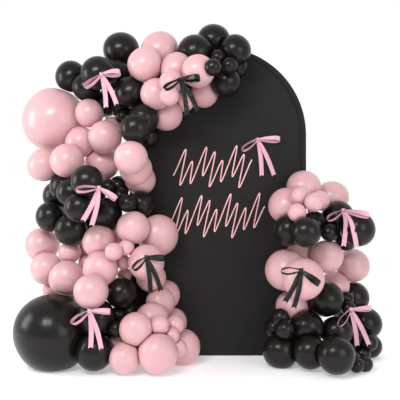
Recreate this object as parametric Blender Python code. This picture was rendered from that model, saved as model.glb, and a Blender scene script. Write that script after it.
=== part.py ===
"""Arched fabric panel with a tall and a short balloon garland, ribbon bows and a two-row sign.

X runs across the panel, Y from the front to the back and Z up. The origin is on the floor, under the
panel's middle. Balloons and bows are placed where a photograph shows them, each on the sight line
through a point of the panel's face. Balloons are laid in turns, every turn further forward, and pressed
apart along their sight lines. A bow lies in front of what is behind it.
"""
import math
from typing import NamedTuple

import bmesh
import bpy
from mathutils import Vector
from mathutils.geometry import interpolate_bezier

# Driving sizes in metres
PANEL_WIDTH = 1.22
PANEL_HEIGHT = 2.13
TUBE_DIAMETER = 0.030
FABRIC = 0.0015
FACE_SINK = 0.002
RIM_WIDTH = 0.040
RIBBON_WIDTH = 0.030
RIBBON_THICKNESS = 0.003
LOOP_SPREAD = 0.062
KNOT_WIDTH = 0.026
KNOT_DEPTH = 0.020
KNOT_REST = 0.040
NOTCH_DEPTH = 0.010
TAIL_BEND = 0.008
TAILS_APART = 0.004
SIGN_STROKE = 0.009
SIGN_THICKNESS = 0.004
EYE_DISTANCE = 4.2

# Fits in metres
GAP = 0.0003
RIBBON_GAP = 0.009
TIE_OVERLAP = 0.008

# How finely round things are cut
ARC_STEPS = 14
RIM_STEPS = 2
BIG_BALL_POINTS = 56
BALL_POINTS = 21
SMALL_BALL_POINTS = 13
SMALL_BALL_RADIUS = 0.065
BIG_BALL_RADIUS = 0.18
KNOT_SIDES = 6
KNOT_RINGS = 3
KNOT_FEELERS = 8
LOOP_STEPS = 6
LIFT_ROUNDS = 3
TAIL_STEPS = 4
FINER = 3
STROKE_STEPS = (0, 0.28, 0.72)

# How far the few points of a ball stand out, so that its size stays true
BIG_BALL_OUT = 1.01
BALL_OUT = 1.035
SMALL_BALL_OUT = 1.05

# How far round a tie no other point of a ball lies, in degrees
TIE_DEGREES = 21.5
AT_TIE_DEGREES = 2.5

# How far two balloons press into each other, and into a face, as shares of their radii
SQUEEZE = 0.07
MOST_SQUEEZE = 0.2
TOUCH = 0.99
JOIN_PRESS = 0.003
SWELL = 1.03
LEAST_PRESSED = 0.2
NEIGHBOUR_REACH = 1.06

# How the pile is laid and pressed apart, in metres, and as a share of each overlap
BEHIND_FACE = 0.3
PILE_DEPTH = 0.48
TURN_DEPTH = 0.05
PUSH_SHARE = 0.3
PRESS_ROUNDS = 200
JOIN_ROUNDS = 200
JOIN_STEPS = 6

# Proportions of a bow: how narrow it is at the knot, how fast it widens, and how its loops lie
LOOP_WAIST = 0.4
LOOP_FLARE = 2.4
LOOP_RISE = 0.5
LOOP_TURN = math.radians(35)
LEAST_SHARE = 0.35
MOST_TILT = 0.4
TAIL_WAIST = 0.5
TAIL_FLARE = 3

# Proportions of the sign: its middle line in a row, how far the strokes pass it, the beat in which
# that changes from stroke to stroke, and how far they lean
LINE_SHARE = 0.44
RISE = 0.16
RISE_SWING = 0.38
DROP = 0.16
DROP_SWING = 0.28
BEAT = 0.55
SLANT = 0.3
RIM_SHOULDER = 0.85

# One pixel of the photograph on the panel's face, in metres
PX_WIDTH = 0.006854
PX_HEIGHT = 0.006916

# Where the photograph shows the panel, in pixels of its 400 by 400 frame
PANEL_LEFT_PX = 129
PANEL_RIGHT_PX = 307
PANEL_FOOT_PX = 355
PHOTO_CENTRE_PX = 200

# What follows from the values above
RADIUS = PANEL_WIDTH / 2
SPRING_HEIGHT = PANEL_HEIGHT - RADIUS
HALF_DEPTH = TUBE_DIAMETER / 2 + FABRIC
FACE_Y = -HALF_DEPTH
SUNK_Y = FACE_Y + FACE_SINK
PANEL_MIDDLE_PX = (PANEL_LEFT_PX + PANEL_RIGHT_PX) / 2
WIDER_SIDE = RADIUS - (PANEL_RIGHT_PX - PANEL_MIDDLE_PX) * PX_WIDTH
EDGE_SHIFT = {"left": -WIDER_SIDE, "middle": 0, "right": WIDER_SIDE}


class Balloon(NamedTuple):
    """A balloon's real diameter, its middle in the photograph, its turn and its edge.

    Turns are counted from the back.
    """

    diameter_cm: float
    x_px: float
    y_px: float
    turn: int
    edge: str


class Bow(NamedTuple):
    """Where the photograph shows a bow's knot, the ends of its loops and the ends of its tails."""

    colour: str
    edge: str
    knot_px: tuple
    left_px: tuple
    right_px: tuple
    tails_px: tuple


class Ball(NamedTuple):
    """A balloon in its place, with the number of the cluster that it is tied into."""

    colour: str
    centre: Vector
    radius: float
    cluster: int


# The garlands, cluster by cluster: balloons of one colour that are tied together
CLUSTERS = (
    ("black", "left", (
        (21, 213.5, 42, 1), (22, 195.5, 53.5, 2), (19.5, 235, 51.5, 3), (9.5, 218, 58, 5),
        (14, 237, 68, 1), (10, 229.5, 66, 6),
    )),
    ("black", "left", (
        (23.5, 121, 51.5, 1), (20, 116, 76, 2), (20.5, 97.5, 74, 3), (20, 131, 93, 3), (18, 86, 88, 2),
        (20.5, 71, 77.5, 1),
    )),
    ("pink", "left", (
        (24, 160, 52, 1), (21, 145, 65.5, 3), (20, 177, 70, 3), (19.5, 198, 72, 3), (14, 171, 83, 4),
        (11.5, 169, 96.5, 5),
    )),
    ("pink", "left", (
        (17.5, 204, 94, 1), (13.5, 184, 101, 1), (19.5, 166.5, 115, 1), (19, 156, 94.5, 3),
    )),
    ("black", "left", ((17.5, 106, 104, 1),)),
    ("pink", "left", (
        (41.5, 55, 121, 1), (20, 80.5, 142.5, 2), (21, 105, 137.5, 4), (22.5, 102, 164, 2),
        (12, 111.5, 126, 1), (18, 89, 113.7, 4),
    )),
    ("black", "left", ((14.5, 148, 137, 1),)),
    ("pink", "left", ((19.5, 140, 180.5, 1), (20, 135, 169, 2), (19.5, 130.7, 157.6, 4))),
    ("black", "left", (
        (14.5, 118, 187, 1), (10.5, 120, 196, 3), (11, 127.5, 203.5, 3), (10, 108, 187, 4),
        (16, 141, 204, 1), (19.5, 106, 213, 3),
    )),
    ("pink", "right", (
        (21.5, 304, 188, 1), (22, 287, 206, 1), (12.5, 320, 201, 2), (12, 300.5, 196, 3),
        (11.5, 314.5, 202.5, 4),
    )),
    ("black", "left", (
        (19.5, 57.5, 196, 1), (19, 64.5, 186.5, 2), (17.5, 71, 193, 3), (17.5, 79, 207.5, 4),
        (19, 87, 181.5, 5), (19, 50.5, 216.5, 3),
    )),
    ("pink", "right", ((21.5, 332.5, 198, 1),)),
    ("pink", "left", (
        (17.5, 122, 231, 1), (21, 99.5, 241.5, 4), (21, 100.5, 268.5, 5), (20, 91, 291, 6),
        (9, 123, 262, 5), (21.5, 145.5, 262.5, 3),
    )),
    ("pink", "left", (
        (26, 157, 235, 1), (20, 132.5, 227.5, 4), (9.5, 126, 247.5, 5), (10.5, 113.5, 251.5, 6),
    )),
    ("black", "right", (
        (13.5, 346, 240, 1), (21, 338, 217.5, 2), (21, 358, 229, 2), (16.5, 315, 224, 2),
        (11, 330, 232.5, 4),
    )),
    ("pink", "left", ((12, 83, 249, 1), (10, 85.5, 262, 2))),
    ("pink", "left", (
        (14.5, 68, 293, 1), (11, 50.5, 289.5, 2), (20.5, 46.5, 268, 3), (22, 66.5, 277.5, 5),
        (22, 42, 244.5, 2), (14, 69.5, 252, 2),
    )),
    ("black", "left", ((18, 129, 294, 1), (19, 120.5, 292.5, 4))),
    ("pink", "left", (
        (19, 164.5, 294.5, 1), (18, 160, 301.5, 2), (21.5, 151.5, 320, 2), (12, 159, 325, 4),
        (19.5, 135.5, 328.3, 4), (23, 157.3, 352, 5),
    )),
    ("black", "right", (
        (20, 354, 297, 1), (20, 366.5, 323, 2), (16, 355, 336, 2), (10.5, 369.5, 342, 3),
        (16, 345, 321, 1), (10, 363, 353.5, 6),
    )),
    ("pink", "right", ((14.5, 305, 303, 1), (20.5, 293, 306, 2))),
    ("pink", "left", (
        (19, 171.5, 322, 1), (22.5, 181.5, 346.5, 1), (10.5, 178, 347, 2), (10, 171, 335, 3),
        (11, 175, 324, 2),
    )),
    ("black", "left", ((14.5, 105, 336, 1),)),
    ("pink", "left", ((14.5, 121, 342, 1),)),
    ("black", "right", ((16, 370, 345, 1),)),
    ("black", "left", ((18.5, 226, 83, 2),)),
    ("black", "left", ((18.5, 143, 119, 2), (18, 135, 129, 3))),
    ("pink", "left", ((20.5, 43.5, 165.5, 2), (21, 67, 161.3, 4))),
    ("black", "left", ((16, 93, 198, 2),)),
    ("black", "right", ((19, 290, 230, 2), (17.5, 306.5, 232, 4))),
    ("pink", "right", (
        (20, 303, 254.5, 2), (20, 327, 255.8, 5), (25, 286.5, 270, 2), (24, 304, 279, 3),
    )),
    ("pink", "right", ((21.5, 353, 265.3, 2), (19, 335, 286, 2))),
    ("pink", "left", ((18.5, 150.5, 277, 2),)),
    ("black", "left", ((10.5, 116.5, 315, 2), (15, 127, 311, 1))),
    ("black", "right", (
        (13, 275, 327, 2), (21.5, 281, 350, 3), (11, 281, 317, 3), (20, 310.5, 351, 4),
        (21, 307.5, 326.5, 4), (21.5, 336.5, 354.5, 6),
    )),
    ("black", "left", (
        (47, 53.5, 331.5, 2), (23, 95.5, 317, 3), (22, 94.5, 351, 4), (10, 116, 328.5, 3),
    )),
    ("black", "right", ((13, 350, 358, 2), (9.5, 365.5, 363, 5), (9, 357, 364, 7))),
    ("black", "left", ((9, 122, 117, 3), (14, 121, 107.5, 1))),
    ("black", "left", ((20.5, 71, 229, 3), (15, 91, 221, 1))),
    ("black", "right", ((9, 347, 298.5, 3), (9, 349, 308, 3), (22, 326, 299, 5))),
    ("black", "right", ((19.5, 337, 331, 3),)),
    ("pink", "right", ((11, 297.5, 212.5, 4),)),
    ("pink", "left", ((9, 124.3, 275, 4),)),
    ("black", "right", ((11, 285.5, 329, 4),)),
    ("pink", "left", ((18, 124.5, 356.8, 5),)),
    ("black", "left", ((10, 213, 68, 6),)),
)

BOWS = (
    Bow("pink", "left", (101, 75), (84, 88), (120, 73), ((105.5, 108.5), (116.5, 105.5))),
    Bow("black", "left", (180, 80), (165, 92), (200, 79), ((187, 116), (198, 112))),
    Bow("pink", "middle", (258, 139.7), (242, 151), (280, 140), ((262, 176.5), (274.5, 176))),
    Bow("pink", "left", (98.5, 188), (77, 190), (116, 199), ((82, 221), (91, 226))),
    Bow("black", "left", (146, 257), (133, 269), (164, 258), ((150, 293), (161, 291))),
    Bow("pink", "left", (89, 310.5), (71, 323), (110, 311), ((90, 348), (101, 349))),
    Bow("pink", "right", (344, 210.5), (328, 220), (364, 215), ((342, 246), (354, 247))),
    Bow("black", "right", (301.5, 270), (281.5, 271), (319, 283), ((285, 302), (294, 308))),
    Bow("pink", "right", (351.5, 309), (336, 323), (372, 308), ((358, 346), (370, 345))),
)


# Sight lines and the panel's outline

def on_face(x_px, y_px, edge="middle"):
    """The point of the panel's face that the photograph shows at a pixel, moved along with an edge."""
    across = (x_px - PANEL_MIDDLE_PX) * PX_WIDTH + EDGE_SHIFT[edge]
    return Vector((across, FACE_Y, (PANEL_FOOT_PX - y_px) * PX_HEIGHT))


EYE = on_face(PHOTO_CENTRE_PX, PHOTO_CENTRE_PX) - Vector((0, EYE_DISTANCE, 0))


def seen(x_px, y_px, y, edge):
    """The point at depth y that the photograph shows at a pixel."""
    share = (y - EYE.y) / EYE_DISTANCE
    return EYE.lerp(on_face(x_px, y_px), share) + Vector((EDGE_SHIFT[edge], 0, 0))


def inside_outline(x, z):
    """How far inside the panel's outline a place is, in metres. It is negative outside."""
    if z > SPRING_HEIGHT:
        return RADIUS - math.hypot(x, z - SPRING_HEIGHT)
    return RADIUS - abs(x)


# Where each balloon comes to rest

def on_floor(balloon, radius):
    """The depth at which a balloon stands on the floor, for one whose foot the photograph shows there."""
    down = EYE.z - radius * (1 - SQUEEZE)
    drop = EYE.z - on_face(balloon.x_px, balloon.y_px).z
    return EYE.y + EYE_DISTANCE * down / drop


def depth_limits(balloon, radius):
    """How far back and how far forward a balloon's middle may lie."""
    place = on_face(balloon.x_px, balloon.y_px, balloon.edge)
    back = FACE_Y - radius * (1 - SQUEEZE)
    if inside_outline(place.x, place.z) < -radius:
        back = FACE_Y + radius * BEHIND_FACE
    front = -PILE_DEPTH
    if place.z < radius:
        back = min(back, on_floor(balloon, radius))
        front = back - radius
    return back, front


def press_apart(balls, limits):
    """One round of pushing each two balls that press too far apart in depth, the later one forward."""
    for i in range(len(balls)):
        for j in range(i):
            ball, other = balls[i], balls[j]
            offset = other.centre - ball.centre
            wanted = (ball.radius + other.radius) * (1 - SQUEEZE)
            if offset.length >= wanted:
                continue
            sideways = offset.x ** 2 + offset.z ** 2
            move = (math.sqrt(max(wanted ** 2 - sideways, 0)) - offset.y) * PUSH_SHARE
            for k, y in ((i, ball.centre.y - move), (j, other.centre.y + move)):
                back, front = limits[k]
                yield k, min(max(y, front), back)


def moved(ball, balloon, y):
    """The ball at another depth on its sight line."""
    return ball._replace(centre=seen(balloon.x_px, balloon.y_px, y, balloon.edge))


def presses(ball, others):
    """Whether a ball presses further than MOST_SQUEEZE into any other."""
    return any(
        (ball.centre - other.centre).length < (ball.radius + other.radius) * (1 - MOST_SQUEEZE)
        for other in others
    )


def touching(ball, other):
    """Whether two balls touch, with a little press."""
    return (ball.centre - other.centre).length < (ball.radius + other.radius) * TOUCH


def linked_to(start, balls):
    """The numbers of the balls that touch one another from the starting ones on."""
    linked = set(start)
    waiting = list(start)
    while waiting:
        ball = balls[waiting.pop()]
        found = [k for k in range(len(balls)) if k not in linked and touching(ball, balls[k])]
        linked.update(found)
        waiting += found
    return linked


def joining_balls(ball, balloon, other):
    """The ball where it just touches another on its sight line, in front of it and behind it.

    A ball that moves in depth also moves sideways, so the place is found in a few steps.
    """
    wanted = (ball.radius + other.radius) * (TOUCH - JOIN_PRESS)
    for side in (-1, 1):
        nearer = ball
        for _ in range(JOIN_STEPS):
            offset = other.centre - nearer.centre
            rest = wanted ** 2 - offset.x ** 2 - offset.z ** 2
            if rest < 0:
                break
            nearer = moved(nearer, balloon, other.centre.y + side * math.sqrt(rest))
        else:
            yield nearer


def join_up(balls, turns, limits):
    """Moves each ball that hangs free in depth until it touches the group that leans on the panel."""
    on_panel = [k for k, ball in enumerate(balls) if leans_on_panel(ball)]
    for _ in range(JOIN_ROUNDS):
        linked = linked_to(on_panel, balls)
        best = None
        for k in set(range(len(balls))) - linked:
            others = balls[:k] + balls[k + 1:]
            for other in linked:
                for nearer in joining_balls(balls[k], turns[k][0], balls[other]):
                    back, front = limits[k]
                    shift = abs(nearer.centre.y - balls[k].centre.y)
                    if not front <= nearer.centre.y <= back or (best and shift >= best[0]):
                        continue
                    if touching(nearer, balls[other]) and not presses(nearer, others):
                        best = (shift, k, nearer)
        if not best:
            return
        balls[best[1]] = best[2]


def leans_on_panel(ball):
    """Whether a ball touches the panel's face."""
    inside = inside_outline(ball.centre.x, ball.centre.z)
    return inside > -ball.radius / 2 and ball.centre.y + ball.radius > FACE_Y


def settle():
    """Lays the balloons one over another in their turns, then presses them apart along their sight lines."""
    turns = []
    for number, (colour, edge, rows) in enumerate(CLUSTERS):
        turns += [(Balloon(*row, edge), colour, number) for row in rows]
    turns.sort(key=lambda turn: (turn[0].turn, turn[0].y_px, turn[0].x_px))
    limits = []
    balls = []
    for balloon, colour, number in turns:
        radius = balloon.diameter_cm / 200 * SWELL
        back, front = depth_limits(balloon, radius)
        limits.append((back, front))
        y = max(back - (balloon.turn - 1) * TURN_DEPTH, front)
        balls.append(Ball(colour, seen(balloon.x_px, balloon.y_px, y, balloon.edge), radius, number))
    for _ in range(PRESS_ROUNDS):
        for k, y in press_apart(balls, limits):
            balls[k] = moved(balls[k], turns[k][0], y)
    join_up(balls, turns, limits)
    return balls


# Balloon shapes

def spread_directions(count):
    """Directions spread evenly over a sphere, along a spiral that turns by the golden angle."""
    golden_angle = math.pi * (3 - math.sqrt(5))
    directions = []
    for i in range(count):
        height = 1 - (2 * i + 1) / count
        around = math.sqrt(1 - height * height)
        angle = golden_angle * i
        directions.append(Vector((around * math.cos(angle), around * math.sin(angle), height)))
    return directions


def detail_of(ball):
    """How many points a ball's shape has, and how far they stand out so that its size stays true."""
    if ball.radius > BIG_BALL_RADIUS:
        return BIG_BALL_POINTS, BIG_BALL_OUT
    if ball.radius < SMALL_BALL_RADIUS:
        return SMALL_BALL_POINTS, SMALL_BALL_OUT
    return BALL_POINTS, BALL_OUT


def flats_of(ball, others):
    """The planes that a ball presses flat against, each as a direction and its distance from the middle."""
    flats = [(Vector((0, 0, -1)), ball.centre.z)]
    inside = inside_outline(ball.centre.x, ball.centre.z)
    in_front = FACE_Y - ball.centre.y > ball.radius / 2
    if inside > -ball.radius and in_front:
        face = SUNK_Y if inside > RIM_WIDTH + ball.radius else FACE_Y
        flats.append((Vector((0, 1, 0)), face - GAP - ball.centre.y))
    elif inside > -ball.radius:
        height = max(ball.centre.z - SPRING_HEIGHT, 0)
        towards_edge = Vector((-ball.centre.x, 0, -height)).normalized()
        flats.append((towards_edge, max(-inside - GAP, ball.radius * LEAST_PRESSED)))
    for other in others:
        offset = other.centre - ball.centre
        apart = offset.length
        if apart < (ball.radius + other.radius) * NEIGHBOUR_REACH:
            share = (apart ** 2 + ball.radius ** 2 - other.radius ** 2) / (2 * apart)
            share = max(share, ball.radius * LEAST_PRESSED)
            share = min(share, apart - other.radius * LEAST_PRESSED)
            flats.append((offset / apart, share - GAP / 2))
    return flats


def ball_mesh(name, ball, mates, others):
    """A ball of few flat faces, with a point in each mate and pressed flat against every other ball."""
    points, swell = detail_of(ball)
    flats = flats_of(ball, others)
    towards_mates = [(mate.centre - ball.centre).normalized() for mate in mates]
    into_mates = [
        (mate.centre - ball.centre).length * ball.radius / (ball.radius + mate.radius) + TIE_OVERLAP
        for mate in mates
    ]
    spread = [
        direction for direction in spread_directions(points)
        if all(direction.angle(towards) > math.radians(TIE_DEGREES) for towards in towards_mates)
    ]
    shape = bmesh.new()
    for direction in towards_mates + spread:
        shape.verts.new(direction)
    bmesh.ops.convex_hull(shape, input=shape.verts)
    for vert in shape.verts:
        direction = vert.co.normalized()
        reach = ball.radius * swell
        for towards, into in zip(towards_mates, into_mates):
            if direction.angle(towards) < math.radians(AT_TIE_DEGREES):
                reach = into
        for towards, distance in flats:
            if direction.dot(towards) > 0:
                reach = min(reach, distance / direction.dot(towards))
        vert.co = ball.centre + direction * reach
    bmesh.ops.recalc_face_normals(shape, faces=shape.faces)
    return finished_mesh(name, shape, smooth=True)


def clusters_of(balls):
    """The balls of each cluster, in the table's order."""
    return [[ball for ball in balls if ball.cluster == number] for number in range(len(CLUSTERS))]


def ties_of(cluster):
    """Pairs of balls, as numbers in the cluster: each ball is tied to the one that it presses most."""
    tied = [0]
    ties = []
    while len(tied) < len(cluster):
        free = [k for k in range(len(cluster)) if k not in tied]
        pairs = [(press_of(cluster[i], cluster[k]), i, k) for i in tied for k in free]
        _, i, k = max(pairs)
        ties.append((i, k))
        tied.append(k)
    return ties


def press_of(ball, other):
    """How far two balls press into each other, as a share of their radii."""
    return 1 - (ball.centre - other.centre).length / (ball.radius + other.radius)


# Flat strips: ribbon and sign strokes

def strip_mesh(name, rows, thickness):
    """A closed strip. Each row has its points from edge to edge, then the direction of its thickness."""
    shape = bmesh.new()
    layers = []
    for points, outward in rows:
        offset = outward.normalized() * thickness / 2
        front = [shape.verts.new(point + offset) for point in points]
        back = [shape.verts.new(point - offset) for point in points]
        layers.append(front + back[::-1])
    count = len(layers[0])
    for first, second in zip(layers, layers[1:]):
        for k in range(count):
            after = (k + 1) % count
            shape.faces.new((first[k], first[after], second[after], second[k]))
    for layer in (layers[0], layers[-1]):
        for k in range(count // 2 - 1):
            shape.faces.new((layer[k], layer[k + 1], layer[count - 2 - k], layer[count - 1 - k]))
    bmesh.ops.triangulate(shape, faces=shape.faces)
    bmesh.ops.recalc_face_normals(shape, faces=shape.faces)
    return finished_mesh(name, shape)


def front_at(point, balls):
    """The depth of the first surface on the sight line through a point."""
    toward = (point - EYE).normalized()
    nearest = FACE_Y if inside_outline(point.x, point.z) > -RIBBON_WIDTH else 0.0
    for ball in balls:
        offset = ball.centre - EYE
        reach = ball.radius * detail_of(ball)[1]
        along = offset.dot(toward)
        beside = offset.length_squared - along ** 2
        if beside < reach ** 2:
            hit = EYE + toward * (along - math.sqrt(reach ** 2 - beside))
            nearest = min(nearest, hit.y)
    return nearest


def lifted(rows, knot, tip, balls):
    """Tilts a loop forward about its knot until the pile behind it is clear of its outer points."""
    reach = (tip - knot).length
    for _ in range(LIFT_ROUNDS):
        need = 0
        for points, _ in rows:
            for point in points:
                share = min(1, (point - knot).length / reach)
                if share > LEAST_SHARE:
                    need = max(need, (point.y + RIBBON_GAP - front_at(point, balls)) / share)
        for points, _ in rows:
            for point in points:
                point.y -= need * min(1, (point - knot).length / reach)
    return rows


def loop_mesh(name, knot, tip, side, half_width, balls):
    """A ribbon loop from the knot round a tip and back. Side opens the loop, half_width is across it."""
    # A curve with these handles passes through the tip at three quarters of their reach
    reach = (tip - knot) * 4 / 3
    start = knot + side.normalized() * KNOT_DEPTH / 4
    end = knot - side.normalized() * KNOT_DEPTH / 4
    middle = interpolate_bezier(start, knot + reach + side, knot + reach - side, end, LOOP_STEPS + 1)
    rows = []
    for i, point in enumerate(middle):
        along = middle[min(i + 1, LOOP_STEPS)] - middle[max(i - 1, 0)]
        spread = half_width * min(1, LOOP_WAIST + LOOP_FLARE * min(i, LOOP_STEPS - i) / LOOP_STEPS)
        rows.append(([point - spread, point + spread], along.cross(half_width)))
    return strip_mesh(name, lifted(rows, knot, tip, balls), RIBBON_THICKNESS)


def tail_mesh(name, knot, end, balls):
    """A ribbon tail that hangs from the knot, lies over what stands out, and ends in a notch."""
    across = Vector((end.z - knot.z, 0, knot.x - end.x)).normalized() * RIBBON_WIDTH / 2
    line = []
    for i in range(TAIL_STEPS * FINER + 1):
        share = i / (TAIL_STEPS * FINER)
        point = knot.lerp(end, share) + Vector((TAIL_BEND * math.sin(math.pi * share), 0, 0))
        front = min(front_at(point + side, balls) for side in (-across, Vector(), across))
        line.append((point, front - RIBBON_GAP))
    rows = []
    y = knot.y
    for i in range(TAIL_STEPS + 1):
        point = line[i * FINER][0]
        near = line[max(0, (i - 1) * FINER):(i + 1) * FINER + 1]
        if i > 0:
            y = min([y] + [front for _, front in near])
        point = Vector((point.x, y, point.z))
        wide = across * (TAIL_WAIST + (1 - TAIL_WAIST) * min(1, TAIL_FLARE * i / TAIL_STEPS))
        notch = Vector((0, 0, NOTCH_DEPTH if i == TAIL_STEPS else 0))
        rows.append(([point - wide, point + notch, point + wide], Vector((0, -1, 0))))
    return strip_mesh(name, rows, RIBBON_THICKNESS)


def knot_mesh(name, knot):
    """The knot's band, a flattened bead."""
    shape = bmesh.new()
    bmesh.ops.create_uvsphere(shape, u_segments=KNOT_SIDES, v_segments=KNOT_RINGS, radius=0.5)
    bmesh.ops.scale(shape, vec=(KNOT_WIDTH, KNOT_DEPTH, KNOT_WIDTH), verts=shape.verts)
    bmesh.ops.translate(shape, vec=knot, verts=shape.verts)
    return finished_mesh(name, shape, smooth=True)


def bow_meshes(name, bow, balls):
    """The knot, the two loops and the two tails of a bow."""
    rough = seen(*bow.knot_px, FACE_Y, bow.edge)
    around = [Vector()]
    for i in range(KNOT_FEELERS):
        angle = 2 * math.pi * i / KNOT_FEELERS
        around.append(Vector((math.cos(angle), 0, math.sin(angle))) * KNOT_REST)
    y = min(front_at(rough + offset, balls) for offset in around)
    for tip_px in (bow.left_px, bow.right_px):
        tip = seen(*tip_px, FACE_Y, bow.edge)
        y = min(y, front_at(tip, balls) + (tip - rough).length * MOST_TILT)
    knot = seen(*bow.knot_px, y - RIBBON_GAP / 2 - KNOT_DEPTH / 2, bow.edge)
    y = knot.y
    left = seen(*bow.left_px, y, bow.edge)
    right = seen(*bow.right_px, y, bow.edge)
    to_left = left - knot
    over = Vector((-to_left.z, 0, to_left.x)).normalized()
    behind = Vector((0, 1, 0))
    open_up = (over * math.cos(LOOP_TURN) - behind * math.sin(LOOP_TURN)) * LOOP_SPREAD
    deep = (over * math.sin(LOOP_TURN) + behind * math.cos(LOOP_TURN)) * RIBBON_WIDTH / 2
    to_right = right - knot
    up = Vector((-to_right.z, 0, to_right.x)).normalized() * RIBBON_WIDTH / 2
    open_out = Vector((0, -1, LOOP_RISE)) * LOOP_SPREAD
    meshes = [
        knot_mesh(f"{name}_knot", knot),
        loop_mesh(f"{name}_left", knot, left, open_up, deep, balls),
        loop_mesh(f"{name}_right", knot, right, open_out, up, balls),
    ]
    for i, tail_px in enumerate(bow.tails_px):
        side = Vector((2 * i - 1, 1 - 2 * i, 0)) * TAILS_APART / 2
        end = seen(*tail_px, y, bow.edge)
        meshes.append(tail_mesh(f"{name}_tail_{i + 1}", knot + side, end, balls))
    return meshes, knot


# The sign: two rows of slanting strokes, each row one line that swings up and down

class SignRow(NamedTuple):
    """Where a row of strokes lies in the photograph, and how many strokes it has."""

    left_px: float
    right_px: float
    top_px: float
    foot_px: float
    strokes: int


SIGN_ROWS = (SignRow(175, 250, 144, 188, 15), SignRow(171, 262, 192, 238, 19))


def on_panel(x_px, y_px):
    """The place of a sign stroke's middle on the sunk face."""
    point = on_face(x_px, y_px)
    return Vector((point.x, SUNK_Y - GAP - SIGN_THICKNESS / 2, point.z))


def turn_height(number):
    """How far a stroke's end lies above the middle line, as a share of the row's height."""
    if number % 2:
        return RISE + RISE_SWING * math.cos(BEAT * number) ** 2
    return -DROP - DROP_SWING * math.sin(BEAT * number) ** 2


def stroke_line(row, steps):
    """The line of a sign row. Steps are shares of a stroke, from one turn to the next."""
    left = on_panel(row.left_px, row.foot_px)
    right = on_panel(row.right_px, row.top_px)
    height = right.z - left.z
    pitch = (right.x - left.x) / row.strokes
    points = []
    for number in range(row.strokes):
        for share in steps:
            swing = (1 - math.cos(math.pi * share)) / 2
            rise = turn_height(number) + (turn_height(number + 1) - turn_height(number)) * swing
            x = left.x + pitch * (number + share) + rise * height * SLANT
            points.append(Vector((x, left.y, left.z + height * (LINE_SHARE + rise))))
    return points


def sign_mesh(name, row):
    """The flat strokes of a sign row, and the middle of the row."""
    points = stroke_line(row, STROKE_STEPS)
    rows = []
    for i, point in enumerate(points):
        along = points[min(i + 1, len(points) - 1)] - points[max(i - 1, 0)]
        across = Vector((along.z, 0, -along.x)).normalized() * SIGN_STROKE / 2
        rows.append(([point - across, point + across], Vector((0, -1, 0))))
    return strip_mesh(name, rows, SIGN_THICKNESS), points[len(points) // 2]


# The panel: a tube frame under its stretched sleeve, one closed form

def arch_stations():
    """Points round the panel's edge, each with the direction inwards."""
    stations = [(Vector((-RADIUS, 0, 0)), Vector((1, 0, 0)))]
    for i in range(ARC_STEPS + 1):
        angle = math.pi * (1 - i / ARC_STEPS)
        outward = Vector((math.cos(angle), 0, math.sin(angle)))
        stations.append((Vector((0, 0, SPRING_HEIGHT)) + outward * RADIUS, -outward))
    stations.append((Vector((RADIUS, 0, 0)), Vector((-1, 0, 0))))
    return stations


def rim_profile():
    """The rim's outline as insets and depths, from the sunk front face round the edge to the back."""
    front = [(RIM_WIDTH, SUNK_Y), (RIM_WIDTH * RIM_SHOULDER, FACE_Y)]
    for i in range(RIM_STEPS):
        angle = math.pi / 2 * i / RIM_STEPS
        front.append((HALF_DEPTH * (1 - math.sin(angle)), -HALF_DEPTH * math.cos(angle)))
    back = [(inset, -y) for inset, y in reversed(front)]
    return front + [(0, 0)] + back


def panel_mesh(name):
    """The panel's outer form, with the rim that the frame raises round both faces and a flat underside."""
    shape = bmesh.new()
    loops = []
    for place, inwards in arch_stations():
        loop = [shape.verts.new(place + inwards * inset + Vector((0, y, 0))) for inset, y in rim_profile()]
        loops.append(loop)
    for first, second in zip(loops, loops[1:]):
        for k in range(len(first) - 1):
            shape.faces.new((first[k], first[k + 1], second[k + 1], second[k]))
    for side in (0, -1):
        shape.faces.new([loop[side] for loop in loops])
    shape.faces.new(loops[0] + loops[-1][::-1])
    bmesh.ops.triangulate(shape, faces=shape.faces)
    bmesh.ops.recalc_face_normals(shape, faces=shape.faces)
    return finished_mesh(name, shape)


# Objects and materials

def finished_mesh(name, shape, smooth=False):
    """A mesh made from a bmesh, which is freed."""
    mesh = bpy.data.meshes.new(name)
    shape.to_mesh(mesh)
    shape.free()
    for face in mesh.polygons:
        face.use_smooth = smooth
    return mesh


def material(name, colour, roughness, metallic=0.0, sheen=0.0):
    """A Principled material."""
    made = bpy.data.materials.new(name)
    made.use_nodes = True
    shader = made.node_tree.nodes["Principled BSDF"]
    shader.inputs["Base Color"].default_value = (*colour, 1)
    shader.inputs["Roughness"].default_value = roughness
    shader.inputs["Metallic"].default_value = metallic
    shader.inputs["Sheen Weight"].default_value = sheen
    return made


def clear_scene():
    """Removes whatever the scene holds."""
    for thing in list(bpy.data.objects):
        bpy.data.objects.remove(thing, do_unlink=True)


def place(name, mesh, surface, origin, collection, parent):
    """An object whose mesh stays where it was modelled and whose origin is at its own middle."""
    for vert in mesh.vertices:
        vert.co -= origin
    mesh.materials.append(surface)
    thing = bpy.data.objects.new(name, mesh)
    thing.location = origin
    thing.parent = parent
    collection.objects.link(thing)
    return thing


def fuse(name, meshes, surface, origin, shown, helpers, parent):
    """One solid from several meshes: the first takes in the others by a Boolean union."""
    thing = place(name, meshes[0], surface, origin, shown, parent)
    if len(meshes) == 1:
        return thing
    operands = bpy.data.collections.new(f"{name}_joined")
    helpers.children.link(operands)
    for mesh in meshes[1:]:
        helper = place(mesh.name, mesh, surface, origin, operands, parent)
        helper.hide_render = True
        helper.display_type = "WIRE"
    union = thing.modifiers.new("join", "BOOLEAN")
    union.operation = "UNION"
    union.operand_type = "COLLECTION"
    union.collection = operands
    union.solver = "EXACT"
    return thing


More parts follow.
